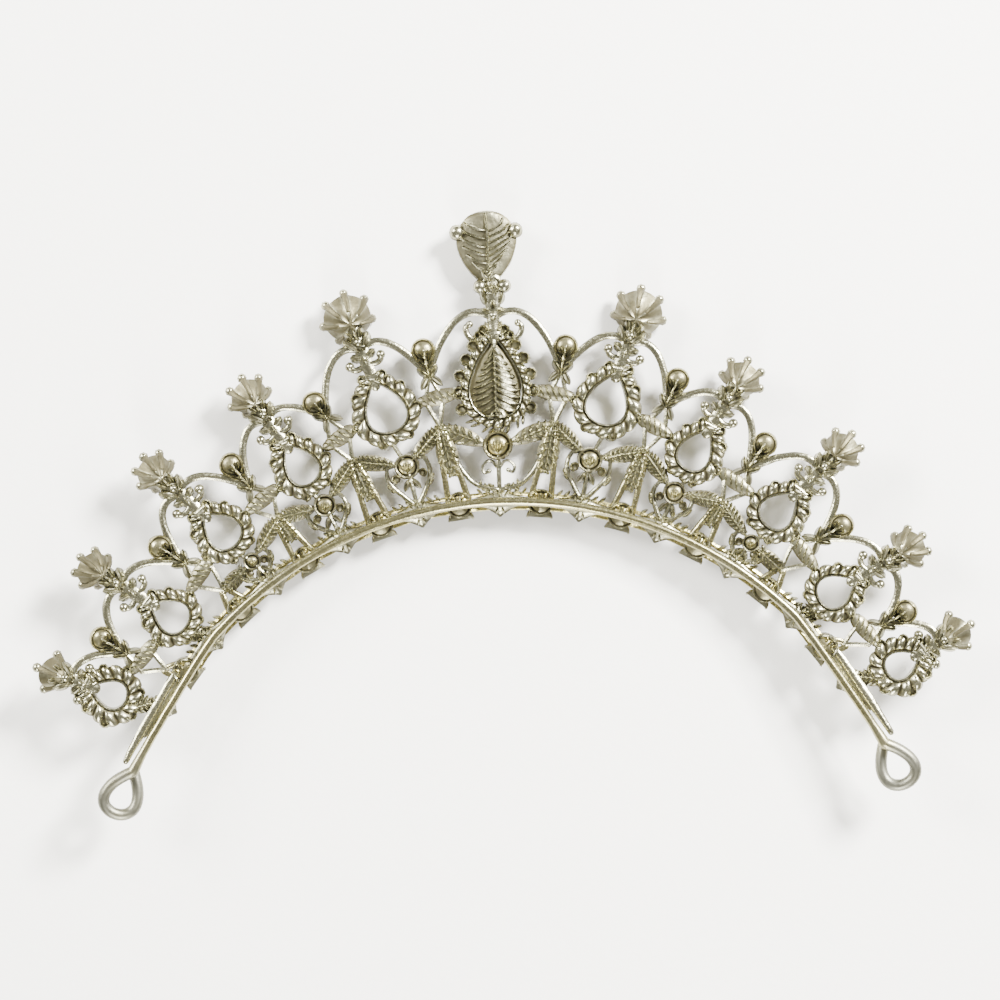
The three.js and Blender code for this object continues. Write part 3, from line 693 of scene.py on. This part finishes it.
def underwork(surface, index, side):
    """Stalk, domed cup, veined leaves and scrolls from a ring down to the band row."""
    row_angle = side * ROW_PITCH * (index + 1)
    foot = RING_REACHES[index] - RING_LENGTHS[index] / 2 - BORDER_WIDTHS[index] * 0.5
    foot_point = at(side * (RING_ANGLES[index] + 0.3), foot)
    row_top = at(row_angle, ROW_TOP_REACH)
    if index >= len(DOME_ANGLES):
        spot = Spot(foot_point, row_top)
        herringbone(surface, spot.place, -0.6, spot.length + 0.6, almond(VEINED_END_WIDTH), 6)
        return
    inner = at(side * WAIST_ANGLES[index], WAIST_REACHES[index])
    outer = at(side * WAIST_ANGLES[index + 1], WAIST_REACHES[index + 1])
    cup = at(side * DOME_ANGLES[index], DOME_REACHES[index])
    size = DOME_RADII[index]
    rimmed_dome(surface, cup, size, DOME_RISE)
    for start, end in ((foot_point, cup), (cup, row_top)):
        bar(surface, start, end, STALK_WIDTH, STALK_HEIGHT, 7)
    stalk = Spot(foot_point, cup)
    for aside in (1, -1):
        petal(surface, stalk.place, aside * 0.9, 0.55, 1.7, 0.9, aside * 62, 0.7)
    for start in (inner, outer):
        spot = Spot(start, cup)
        count = max(4, round(spot.length / 0.85))
        half = almond(VEINED_WIDTH)
        herringbone(surface, spot.place, -0.2, spot.length * 0.88, half, count, turn_back=True)
    spot = Spot(cup, row_top, side)
    for aside in (1, -1):
        hook(surface, spot.place, aside * (size + 0.1), size * 0.75, 0.85, aside * 130, 240, 0.7)
        petal(surface, spot.place, aside * 0.8, size + 0.9, 2.2, 1.0, aside * 30, 0.7)
        curl = [(0.3, spot.length), (1.7, spot.length * 0.72), (size + 1.3, spot.length * 0.3),
                (size + 1.1, -0.5), (size + 0.3, -0.9)]
        scroll(surface, spot.place, aside, curl, 0.0, (0.95, 0.65), 0.95)
        aslant = aside * (size + 1.3)
        grain(surface, spot.place, aslant, spot.length * 0.45, 2.0, 0.8, aside * 150, 0.7, 0.2)


def wire_level():
    """How high the plan's forms may rise where they pass in front of the wire."""
    return WIRE_HEIGHT - WIRE_DIAMETER / 2 - WIRE_GAP


def row_cup(surface, angle):
    """A round cup on the front of the band: arch and facets outside the wire, its flat back inside."""
    spot = upright(angle, 0)
    level = wire_level()
    radius = ROW_CUP_RADIUS
    # The third numbers are patina and painted shade: dark in the groove, bright on the rim.
    profile = [(0, level - 0.45, 0.6), (radius * 0.7, level - 0.5, 0.6), (radius * 0.82, level - 0.8, 0.95),
               (radius * 0.88, level - 0.4, 0.15), (radius * 0.96, level - 0.45, 0.1), (radius, 0, 0.6),
               (radius * 0.96, -ROW_DEPTH, FRONT_SHADE), (0, -ROW_DEPTH, FRONT_SHADE)]
    turned(surface, spot.origin, profile, 26, gold=0.35)
    turns = np.linspace(0.05, math.pi - 0.05, 15)
    arch = spot.place(radius * 0.87 * np.cos(turns), radius * 0.87 * np.sin(turns), 0.4)
    tube(surface, arch, 0.5, 0.9, sides=7)
    grain(surface, spot.place, 0, 1.25, 1.7, 0.5, 0, 0.75, 0.3)

    def half(t):
        return 2.15 - 0.75 * np.sin(t * 2.4)

    leaf_base(surface, spot.place, -2.45, 2.2, half, level - 0.7, ROW_DEPTH, 8, 9, 0.45)
    for aside in (1, -1):
        grain(surface, spot.place, aside * 0.78, 1.2, 1.5, 0.95, aside * 22, 0.65, 0.1, gold=1.0)
        grain(surface, spot.place, aside * 1.75, -2.0, 1.3, 0.6, 180 - aside * 20, 0.5, -0.5)


def row_leaf(surface, angle):
    """A pointed leaf on the front of the band, whose wings run into the cups beside it."""
    spot = upright(angle, 0)
    half = ROW_LEAF_WIDTH / 2
    level = wire_level() - 0.35
    depth = ROW_DEPTH * 0.7
    wing = at(ROW_PITCH / 2, 0)[0] - ROW_CUP_RADIUS * 0.25

    def width(t):
        v = np.abs((t - 0.5) * ROW_LEAF_LENGTH)
        body = half * np.clip(1 - v / (ROW_LEAF_LENGTH / 2), 0, 1) ** 0.8
        return np.maximum(body + (wing - half) * np.exp(-(v / 0.85) ** 2), 0.03)

    def foot_width(t):
        return 0.15 + 3.3 * t ** 1.2

    leaf_base(surface, spot.place, -ROW_LEAF_LENGTH / 2, ROW_LEAF_LENGTH, width, level, depth, 21, 11, 0.4)
    leaf_base(surface, spot.place, -2.5, 2.2, foot_width, level - 0.5, depth, 10, 9, 0.35)
    grain(surface, spot.place, 0, 1.35, 1.6, 0.55, 0, 0.5, level * 0.7)
    for aside in (1, -1):
        for u, v, size in ((0.55, 1.5, 1.0), (1.05, 1.1, 1.1)):
            grain(surface, spot.place, aside * u, v, size, 0.42, aside * 38, 0.5, level * 0.5)
        grain(surface, spot.place, aside * 0.45, -1.35, 1.3, 0.5, 180 - aside * 18, 0.45, level * 0.55)


def fringe(surface):
    """Two thin strips beside the wire, and short slanting ridges on the outer one between the cups."""
    limit = ROW_PITCH * (len(RING_ANGLES) - 0.5)
    angles = np.linspace(-limit, limit, 100)
    for reach, height, width in ((1.2, -0.25, 0.8), (-0.95, -0.35, 0.9)):
        strip = np.array([at(angle, wire_reach(angle) + reach, height) for angle in angles])
        tube(surface, strip, width, 0.7, sides=6, gold=1.0)
    for angle in np.arange(-limit + FRINGE_PITCH / 2, limit, FRINGE_PITCH):
        beside = abs((angle / ROW_PITCH) % 1 - 0.5)
        if beside > 0.2:
            spot = upright(angle, 1.65 + wire_reach(angle))
            grain(surface, spot.place, 0, 0, 1.6, 0.6, 42 if angle > 0 else -42, 0.7, -0.1)


def shifted(point, aside):
    """A point moved along the band row's direction there."""
    return point + unit(np.array([point[1], -point[0], 0])) * aside


def band_row(surface, index, side):
    """A cup and a leaf of the band row, and the veined bud and two legs between the cup and the waist."""
    cup_angle = side * ROW_PITCH * (index + 0.5)
    waist = at(side * WAIST_ANGLES[index], WAIST_REACHES[index])
    row_cup(surface, cup_angle)
    row_leaf(surface, side * ROW_PITCH * (index + 1))
    bud = Spot(waist, at(cup_angle, ROW_CUP_RADIUS))
    if bud.length > 4:
        half = almond(BUD_WIDTHS[index], 0.6)
        herringbone(surface, bud.place, bud.length * 0.12, bud.length * 0.66, half, 6)
    for aside in (-1, 1):
        start = shifted(at(cup_angle, ROW_CUP_RADIUS * 0.3), aside * ROW_CUP_RADIUS * 0.75)
        end = shifted(waist, aside * 0.5)
        bar(surface, start, end, LEG_WIDTH, 0.95, 8, gold=0.6)


def tail(surface, side):
    """The flat tail that ends the casting beside the wire."""
    aside = WIRE_DIAMETER / 2 + WIRE_GAP + TAIL_WIDTH / 2
    start = ROW_PITCH * (len(RING_ANGLES) - 0.5)
    shares = np.linspace(0, 1, 16)
    angles = lerp(start, TAIL_HALF_ANGLE, shares)
    path = np.array([
        at(side * angle, wire_reach(angle) + aside, WIRE_HEIGHT * 0.7 * share)
        for angle, share in zip(angles, shares)
    ])
    width = TAIL_WIDTH * np.where(shares < 0.7, 1, 1 - (shares - 0.7))
    tube(surface, path, width, 0.9, sides=10)


def ribs(surface, place, length, half, count, fall, rise, crown, width, side):
    """Curved ribs from a midrib to one side of a pear. fall is how far each goes along it on its way out."""
    reach = np.array([0.06, 0.3, 0.6, 0.9])
    bend = 0.25 * np.sin(reach * math.pi)
    for index in range(count):
        share = (index + 0.5) / count
        wide = float(half(share))
        if wide < 0.5 or share + fall / length > 0.99:
            continue
        ahead = np.clip(fall * reach - bend, (0.03 - share) * length, (0.96 - share) * length)
        ends = np.array([float(half(min(1, max(0, share + step / length)))) for step in ahead])
        u = side * reach * np.minimum(wide, ends)
        height = crown * (1 - 0.75 * (u / max(wide, 0.1)) ** 2) + rise * 0.2
        path = place(u, (share - 0.5) * length + ahead, height)
        tube(surface, path, np.array([0.7, 1, 1, 0.7]) * width, rise, sides=6)


def top_pear(surface):
    """The closed back of the top setting: a broad leaf with strong veins, and beads beside it."""
    half = pear_half(TOP_PEAR_LENGTH, TOP_PEAR_WIDTH, TOP_PEAR_SHARPNESS, True)
    length = TOP_PEAR_LENGTH
    place = upright(TOP_PEAR_TURN, TOP_PEAR_REACH).place
    leaf_base(surface, place, -length / 2, length, half, PEAR_BACK * 0.7, TOP_PEAR_DEPTH, 44, 17, 0.62)
    lean = np.linspace(-1, 1, 7)
    fall = lean ** 2
    midrib = place(0.25 * (1 - fall) - 0.1, lean * length * 0.46, PEAR_BACK * (0.95 - 0.5 * fall))
    tube(surface, midrib, 0.55, 0.8, sides=8)
    ribs(surface, place, length, half, 9, 1.9, 0.75, PEAR_BACK * 0.7, 0.6, -1)
    ribs(surface, place, length, half, 12, 2.6, 0.6, PEAR_BACK * 0.7, 0.46, 1)
    turn = np.arange(60) / 60 * 2 * math.pi
    u, v = pear(turn, length - 0.35, TOP_PEAR_WIDTH - 0.35, TOP_PEAR_SHARPNESS)
    closed_tube(surface, place(u, -v, -0.3), 0.45, 0.8)
    base = TOP_PEAR_REACH - length / 2
    for side in (1, -1):
        ball(surface, place(side * TOP_PEAR_WIDTH * 0.49, length * 0.22, 0.1), 1.3, 14)
        ball(surface, middle_at(side * 1.95, base - 0.2, 0.0), 1.2, 14)
        petal(surface, place, side * 0.95, -length / 2 - 1.2, 2.0, 1.3, side * 12, 1.0)
    rimmed_dome(surface, middle_at(0, base - 0.1), 1.6, 1.3, sides=18, gold=0.0)


def middle_motif(surface):
    """Top pear, neck, middle pear with its border, and the cup and leaves under it."""
    top_pear(surface)
    base = TOP_PEAR_REACH - TOP_PEAR_LENGTH / 2
    peak = MID_PEAR_REACH + MID_PEAR_LENGTH / 2
    rod = [middle_at(0, reach, 0.1) for reach in (base + 0.8, NECK_REACH + 1, NECK_REACH - 1.5, peak - 0.4)]
    tube(surface, spline(rod, 3), (3.2, 3.0, 2.8, 2.5, 2.3, 2.2, 2.1, 2.0, 1.9, 1.8), 1.3, sides=12)
    neck = upright(0, NECK_REACH).place
    curl_place = upright(0, NECK_REACH - CURL_DROP - 1.4).place
    for side in (1, -1):
        for across, along, length, width, turn, rise, patina_and_shade in NECK_PETALS:
            petal(surface, neck, side * across, along, length, width, side * turn, rise, patina_and_shade)
        grain(surface, neck, side * 0.8, 3.7, 1.5, 0.7, side * 40, 0.6, 0.5)
        curl = [(0.5, 1.15), (CURL_REACH * 0.7, 0.35), (CURL_REACH + 0.5, 0.0), (CURL_REACH + 1.5, 0.7),
                (CURL_REACH + 1.8, 1.9), (CURL_REACH + 1.2, 2.5)]
        ball(surface, scroll(surface, curl_place, side, curl, 0.05, (1.0, 1.0), 1.1), 0.62)
    petal(surface, neck, 0, 1.4, 2.0, 1.2, 0, 1.35)
    ball(surface, neck(0, -0.4, 0.8), 0.75)
    spot = upright(0, MID_PEAR_REACH)
    half = pear_half(MID_PEAR_LENGTH, MID_PEAR_WIDTH, RING_SHARPNESS, False)
    length = MID_PEAR_LENGTH
    leaf_base(surface, spot.place, -length / 2, length, half, PEAR_BACK * 0.6, MID_PEAR_DEPTH, 34, 15, 0.8)
    midrib = spot.place(np.zeros(6), np.linspace(-0.44, 0.47, 6) * length, PEAR_BACK * 0.85)
    tube(surface, midrib, 0.55, 0.7, sides=8)
    ribs(surface, spot.place, length, half, 12, -1.6, 1.0, PEAR_BACK * 0.8, 0.92, 1)
    ribs(surface, spot.place, length, half, 13, -1.6, 0.8, PEAR_BACK * 0.6, 0.5, -1)
    mid_border(surface, spot.place)
    rimmed_dome(surface, at(0, DROP_REACH), DROP_RADIUS * 1.06, 1.4, sides=30, gold=0.6)
    lower_middle(surface)


def mid_border(surface, place):
    """Small open cups up both sides of the middle pear with grains between them, and grains at its foot."""
    gadroons(surface, place, MID_PEAR_LENGTH, MID_PEAR_WIDTH, MID_BORDER_WIDTH * 0.62, 0, 26, -3.0)
    for index in range(MID_HOOKS):
        turn = (index + 0.5) / MID_HOOKS * 2 * math.pi
        u, v, out_u, out_v = pear_edge(turn, MID_PEAR_LENGTH, MID_PEAR_WIDTH)
        reach = MID_BORDER_WIDTH - 0.66
        facing = math.degrees(math.atan2(out_u, out_v))
        if abs(index + 0.5 - MID_HOOKS / 2) < 2:
            for aside in (-0.5, 0.5):
                grain(surface, place, u + out_u * reach + out_v * aside, v + out_v * reach - out_u * aside,
                      1.7, 0.55, facing + 38, 0.6)
            continue
        hook(surface, place, u + out_u * reach, v + out_v * reach, 1.15, facing, 250, 0.95)
        before = math.pi / MID_HOOKS
        u, v, out_u, out_v = pear_edge(turn + before, MID_PEAR_LENGTH, MID_PEAR_WIDTH)
        grain(surface, place, u + out_u * 1.35, v + out_v * 1.35, 1.3, 0.7, facing + 55, 0.55, 0.3)


def lower_middle(surface):
    """Cup stalk, scrolls, arcs and leaves between the middle pear and the band."""
    foot = middle_at(0, MID_PEAR_REACH - MID_PEAR_LENGTH / 2)
    tube(surface, [foot, middle_at(0, DROP_REACH + 1)], 0.9, sides=7)
    tube(surface, [middle_at(0, DROP_REACH - 1), middle_at(0, 5.0), middle_at(0, 1.2)], 0.8, sides=7)
    for side in (1, -1):
        waist = at(side * WAIST_ANGLES[0], WAIST_REACHES[0])
        spot = Spot(waist, middle_at(side * DROP_RADIUS * 0.6, DROP_REACH))
        herringbone(surface, spot.place, 0, spot.length, almond(VEINED_END_WIDTH), 7, turn_back=True)
        smile = [waist, *(middle_at(waist[0] * across, DROP_REACH * down)
                          for across, down in ((0.8, 0.85), (0.45, 0.35), (0, 0.2)))]
        tube(surface, spline(smile, 6), 0.85, 0.9, sides=8)
        curl = [(0.3, 5.6), (1.0, 6.5), (1.9, 6.5), (2.6, 5.6), (2.3, 4.7), (1.6, 4.9)]
        tube(surface, spline([middle_at(side * u, reach, 0.1) for u, reach in curl], 4), 0.55, 0.8, sides=7)
        ball(surface, middle_at(side * 1.55, 5.0, 0.2), 0.42, 8)
        bud = Spot(waist, middle_at(side * 2.2, 2.6)).place
        for u, v, size in ((0.55, 1.5, 2.2), (0.75, 2.6, 2.4), (0.6, 3.7, 2.0)):
            grain(surface, bud, side * u * 1.5, v, size, 0.75, side * 42, 0.55, -0.1)
        sprig = [middle_at(side * u, reach) for u, reach in ((1.0, 2.6), (1.9, 2.2), (3.3, 3.0))]
        vine(surface, sprig, 1.2, 4)
    row_leaf(surface, 0)


def casting_surface():
    surface = Surface()
    middle_motif(surface)
    for side in (-1, 1):
        neck = at(0, NECK_REACH - 0.8)
        for index in range(len(RING_ANGLES)):
            next_neck = side_motif(surface, index, side)
            fork = junction(surface, index, side)
            underwork(surface, index, side)
            band_row(surface, index, side)
            tube(surface, bow(neck, fork, side * 0.24), ARC_WIDTH, 1.05, sides=8)
            tube(surface, bow(next_neck, fork, -side * 0.2), ARC_WIDTH, 1.05, sides=8)
            neck = next_neck
        tail(surface, side)
    fringe(surface)
    return surface


def wire_surface():
    """The wire's arc, then a drop-shaped eye whose end tucks in behind the wire."""
    surface = Surface()
    steps = 40

    def eye(side):
        start = at(side * WIRE_HALF_ANGLE, 0, WIRE_HEIGHT)
        lean = math.radians(EYE_LEAN)
        onward = np.array([side * math.sin(lean), -math.cos(lean), 0])
        outward = np.array([-onward[1], onward[0], 0]) * side
        shares = np.arange(1, steps + 1) / steps
        length, width = EYE_LENGTH - EYE_DIAMETER, EYE_WIDTH - EYE_DIAMETER
        u, v = pear(shares * 2 * math.pi * 0.93, length, width, RING_SHARPNESS)
        path = start + onward * (length / 2 - v)[:, None] + outward * u[:, None]
        path[:, 2] = WIRE_HEIGHT - shares * EYE_DIAMETER * 1.05
        return path

    angles = np.linspace(-WIRE_HALF_ANGLE, WIRE_HALF_ANGLE, 181)
    arc = np.array([at(angle, wire_reach(angle), WIRE_HEIGHT) for angle in angles])
    path = np.vstack([eye(-1)[::-1], arc, eye(1)])
    order = np.arange(len(path))
    from_end = np.minimum(order, len(path) - 1 - order)
    width = lerp(EYE_DIAMETER, WIRE_DIAMETER, np.clip((from_end - steps) / 4, 0, 1))
    greyness = np.clip(1 - (from_end - 34) / 14, 0, 1)
    tube(surface, path, width, sides=WIRE_SIDES)
    # On the wire this holds only the eyes' grey patina, with no painted shade.
    surface.patina_and_shade[0] = np.repeat(np.pad(greyness, 2, mode="edge"), WIRE_SIDES)
    return surface


def placed(points):
    """The plan's points bent towards the head and moved to the frame, in metres."""
    turn = points[:, 0] / BEND_RADIUS
    radius = BEND_RADIUS - points[:, 2]
    bent = np.stack([radius * np.sin(turn), points[:, 1], BEND_RADIUS - radius * np.cos(turn)], 1)
    bent += (PLAN_X, PLAN_Y, PLAN_Z)
    bent[:, 2] = np.maximum(bent[:, 2], 0)
    return bent * MM


def worn(points, size):
    """A slight unevenness, as a hand-finished piece has."""
    moved = points.copy()
    for axis, wave in enumerate(WAVES):
        ripple = np.sin(points @ np.array(wave) + axis * 2.1) * np.sin(points[:, 0] * 0.37 + axis)
        moved[:, axis] += size * ripple
    return moved


def make_piece(name, surface, material, uneven):
    """One smooth mesh of a surface, with its notes on patina and painted shade and on golden places as
    attributes.
    """
    points = placed(worn(np.vstack(surface.points), uneven))
    mesh = bpy.data.meshes.new(name)
    mesh.from_pydata(points.tolist(), [], surface.faces)
    for label, values in (("patina_and_shade", surface.patina_and_shade), ("gold", surface.gold)):
        attribute = mesh.attributes.new(label, "FLOAT", "POINT")
        attribute.data.foreach_set("value", np.concatenate(values).astype(np.float32))
    work = bmesh.new()
    work.from_mesh(mesh)
    bmesh.ops.remove_doubles(work, verts=work.verts, dist=MERGE_DISTANCE)
    bmesh.ops.recalc_face_normals(work, faces=work.faces)
    work.to_mesh(mesh)
    work.free()
    mesh.polygons.foreach_set("use_smooth", [True] * len(mesh.polygons))
    mesh.set_sharp_from_angle(angle=math.radians(SHARP_ANGLE))
    mesh.materials.append(material)
    return add_object(name, mesh)


def add_object(name, data):
    """A new object in the scene."""
    made = bpy.data.objects.new(name, data)
    bpy.context.scene.collection.objects.link(made)
    return made


class Nodes:
    """A short way to write a material's nodes."""

    def __init__(self, name):
        self.material = bpy.data.materials.new(name)
        self.material.use_nodes = True
        self.tree = self.material.node_tree
        self.shader = self.tree.nodes["Principled BSDF"]

    def add(self, kind, **values):
        node = self.tree.nodes.new(kind)
        for key, value in values.items():
            if hasattr(node, key):
                setattr(node, key, value)
            else:
                node.inputs[key].default_value = value
        return node

    def link(self, source, target):
        self.tree.links.new(source, target)

    def noise(self, scale, detail=3.0):
        coordinates = self.add("ShaderNodeTexCoord")
        node = self.add("ShaderNodeTexNoise", Scale=scale, Detail=detail, Roughness=0.55)
        self.link(coordinates.outputs["Object"], node.inputs["Vector"])
        return node.outputs["Fac"]

    def attribute(self, name):
        return self.add("ShaderNodeAttribute", attribute_name=name).outputs["Fac"]

    def ramp(self, source, low, high, low_value=0.0, high_value=1.0):
        limits = {"From Min": low, "From Max": high, "To Min": low_value, "To Max": high_value}
        node = self.add("ShaderNodeMapRange", **limits)
        self.link(source, node.inputs["Value"])
        return node.outputs["Result"]

    def math(self, operation, first, second):
        node = self.add("ShaderNodeMath", operation=operation)
        for socket, value in zip(node.inputs, (first, second)):
            if isinstance(value, (int, float)):
                socket.default_value = value
            else:
                self.link(value, socket)
        return node.outputs["Value"]

    def mix(self, share, first, second):
        """A mix of two colours. The mix node's colour sockets have numbers, since names repeat in it."""
        node = self.add("ShaderNodeMix", data_type="RGBA")
        self.link(share, node.inputs["Factor"])
        for socket, value in zip((node.inputs[6], node.inputs[7]), (first, second)):
            if isinstance(value, tuple):
                socket.default_value = (*value, 1)
            else:
                self.link(value, socket)
        return node.outputs[2]

    def bump(self, height, distance, strength=1.0, before=None):
        node = self.add("ShaderNodeBump", Strength=strength, Distance=distance)
        self.link(height, node.inputs["Height"])
        if before is not None:
            self.link(before, node.inputs["Normal"])
        return node.outputs["Normal"]

    def finish(self, tone, rough, normal):
        """The metal, once its shader has its tone, roughness and relief."""
        self.shader.inputs["Metallic"].default_value = 1.0
        for name, source in (("Base Color", tone), ("Roughness", rough), ("Normal", normal)):
            self.link(source, self.shader.inputs[name])
        return self.material


def silver_material():
    """Antique silver: a champagne tone, dull brown from patina in the hollows and from painted shade on the
    lower sides and edges of forms, with fine casting pits.
    """
    nodes = Nodes("cast_silver")
    broad = nodes.noise(260)
    fine = nodes.noise(2600, 4)
    patina_and_shade = nodes.attribute("patina_and_shade")
    # Patina and painted shade from the attribute, with broad noise, turn the tone brown and the finish
    # rougher.
    patina_and_shade_amount = nodes.math("ADD", patina_and_shade, nodes.ramp(broad, 0.3, 0.7, -0.22, 0.22))
    tone = nodes.mix(nodes.ramp(broad, 0.35, 0.65), *SILVER_TONES)
    tone = nodes.mix(nodes.attribute("gold"), tone, SILVER_GOLDEN)
    tone = nodes.mix(nodes.ramp(patina_and_shade_amount, 0.3, 0.9, 0.0, 0.95), tone, SILVER_PATINA_AND_SHADE)
    unevenness = nodes.ramp(fine, 0.3, 0.7, -0.05, 0.07)
    rough = nodes.math("ADD", nodes.ramp(patina_and_shade_amount, 0.2, 1.0, 0.24, 0.52), unevenness)
    coarse_bump = nodes.bump(nodes.noise(900), 0.00012, 0.7)
    return nodes.finish(tone, rough, nodes.bump(fine, 0.00005, 0.6, coarse_bump))


def wire_material():
    """Drawn wire: smooth golden olive, with a darker grey patina at the eyes."""
    nodes = Nodes("band_wire")
    broad = nodes.noise(180)
    fine = nodes.noise(1800, 4)
    greyness = nodes.math("ADD", nodes.attribute("patina_and_shade"), nodes.ramp(broad, 0.3, 0.7, -0.12, 0.12))
    tone = nodes.mix(nodes.ramp(broad, 0.35, 0.65), *WIRE_TONES)
    tone = nodes.mix(nodes.ramp(greyness, 0.2, 1.0, 0.0, 0.9), tone, WIRE_PATINA)
    unevenness = nodes.ramp(fine, 0.3, 0.7, -0.04, 0.06)
    rough = nodes.math("ADD", nodes.ramp(greyness, 0.0, 1.0, 0.24, 0.42), unevenness)
    return nodes.finish(tone, rough, nodes.bump(fine, 0.00004, 0.5))


def floor_material():
    """A matt pale floor with a fine grain."""
    nodes = Nodes("pale_floor")
    speckle = nodes.noise(700)
    nodes.link(nodes.mix(speckle, *FLOOR_TONES), nodes.shader.inputs["Base Color"])
    nodes.shader.inputs["Roughness"].default_value = 0.85
    nodes.link(nodes.bump(speckle, 0.0001, 0.4), nodes.shader.inputs["Normal"])
    return nodes.material


def make_floor():
    corners = [(FLOOR_HALF * x, FLOOR_HALF * y, 0) for x, y in ((-1, -1), (1, -1), (1, 1), (-1, 1))]
    mesh = bpy.data.meshes.new("floor")
    mesh.from_pydata(corners, [], [(0, 1, 2, 3)])
    mesh.materials.append(floor_material())
    floor = add_object("floor", mesh)


def make_camera():
    """The camera looks down on the lying tiara as the photograph's camera looks at it upright."""
    data = bpy.data.cameras.new("camera")
    data.lens = CAMERA_LENS
    data.sensor_width = 36
    data.clip_start = 0.01
    camera = add_object("camera", data)
    camera.location = CAMERA_PLACE
    camera.rotation_euler = [math.radians(angle) for angle in CAMERA_TURN]
    bpy.context.scene.camera = camera


def soft_box(name, place, size, power):
    """An area light that faces the tiara."""
    data = bpy.data.lights.new(name, "AREA")
    data.shape = "RECTANGLE"
    data.size, data.size_y = size
    data.energy = power
    data.color = LAMP_COLOUR
    light = add_object(name, data)
    light.location = place
    x, y, z = place
    light.rotation_euler = (0, math.acos(z / math.hypot(x, y, z)), math.atan2(-y, -x) + math.pi)


def make_lights():
    """Three soft lights and a dim warm room."""
    world = bpy.data.worlds.new("studio")
    bpy.context.scene.world = world
    world.use_nodes = True
    background = world.node_tree.nodes["Background"]
    background.inputs["Color"].default_value = (*WORLD_COLOUR, 1)
    background.inputs["Strength"].default_value = WORLD_STRENGTH
    for name, (place, size, power) in LAMPS.items():
        soft_box(name, place, size, power)


casting = make_piece("casting_looks", casting_surface(), silver_material(), CASTING_UNEVENNESS)
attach(casting, "root")
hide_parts("openwork_casting")

wire = make_piece("wire_looks", wire_surface(), wire_material(), WIRE_UNEVENNESS)
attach(wire, "root")
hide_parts("band_wire")

make_floor()
make_lights()
make_camera()
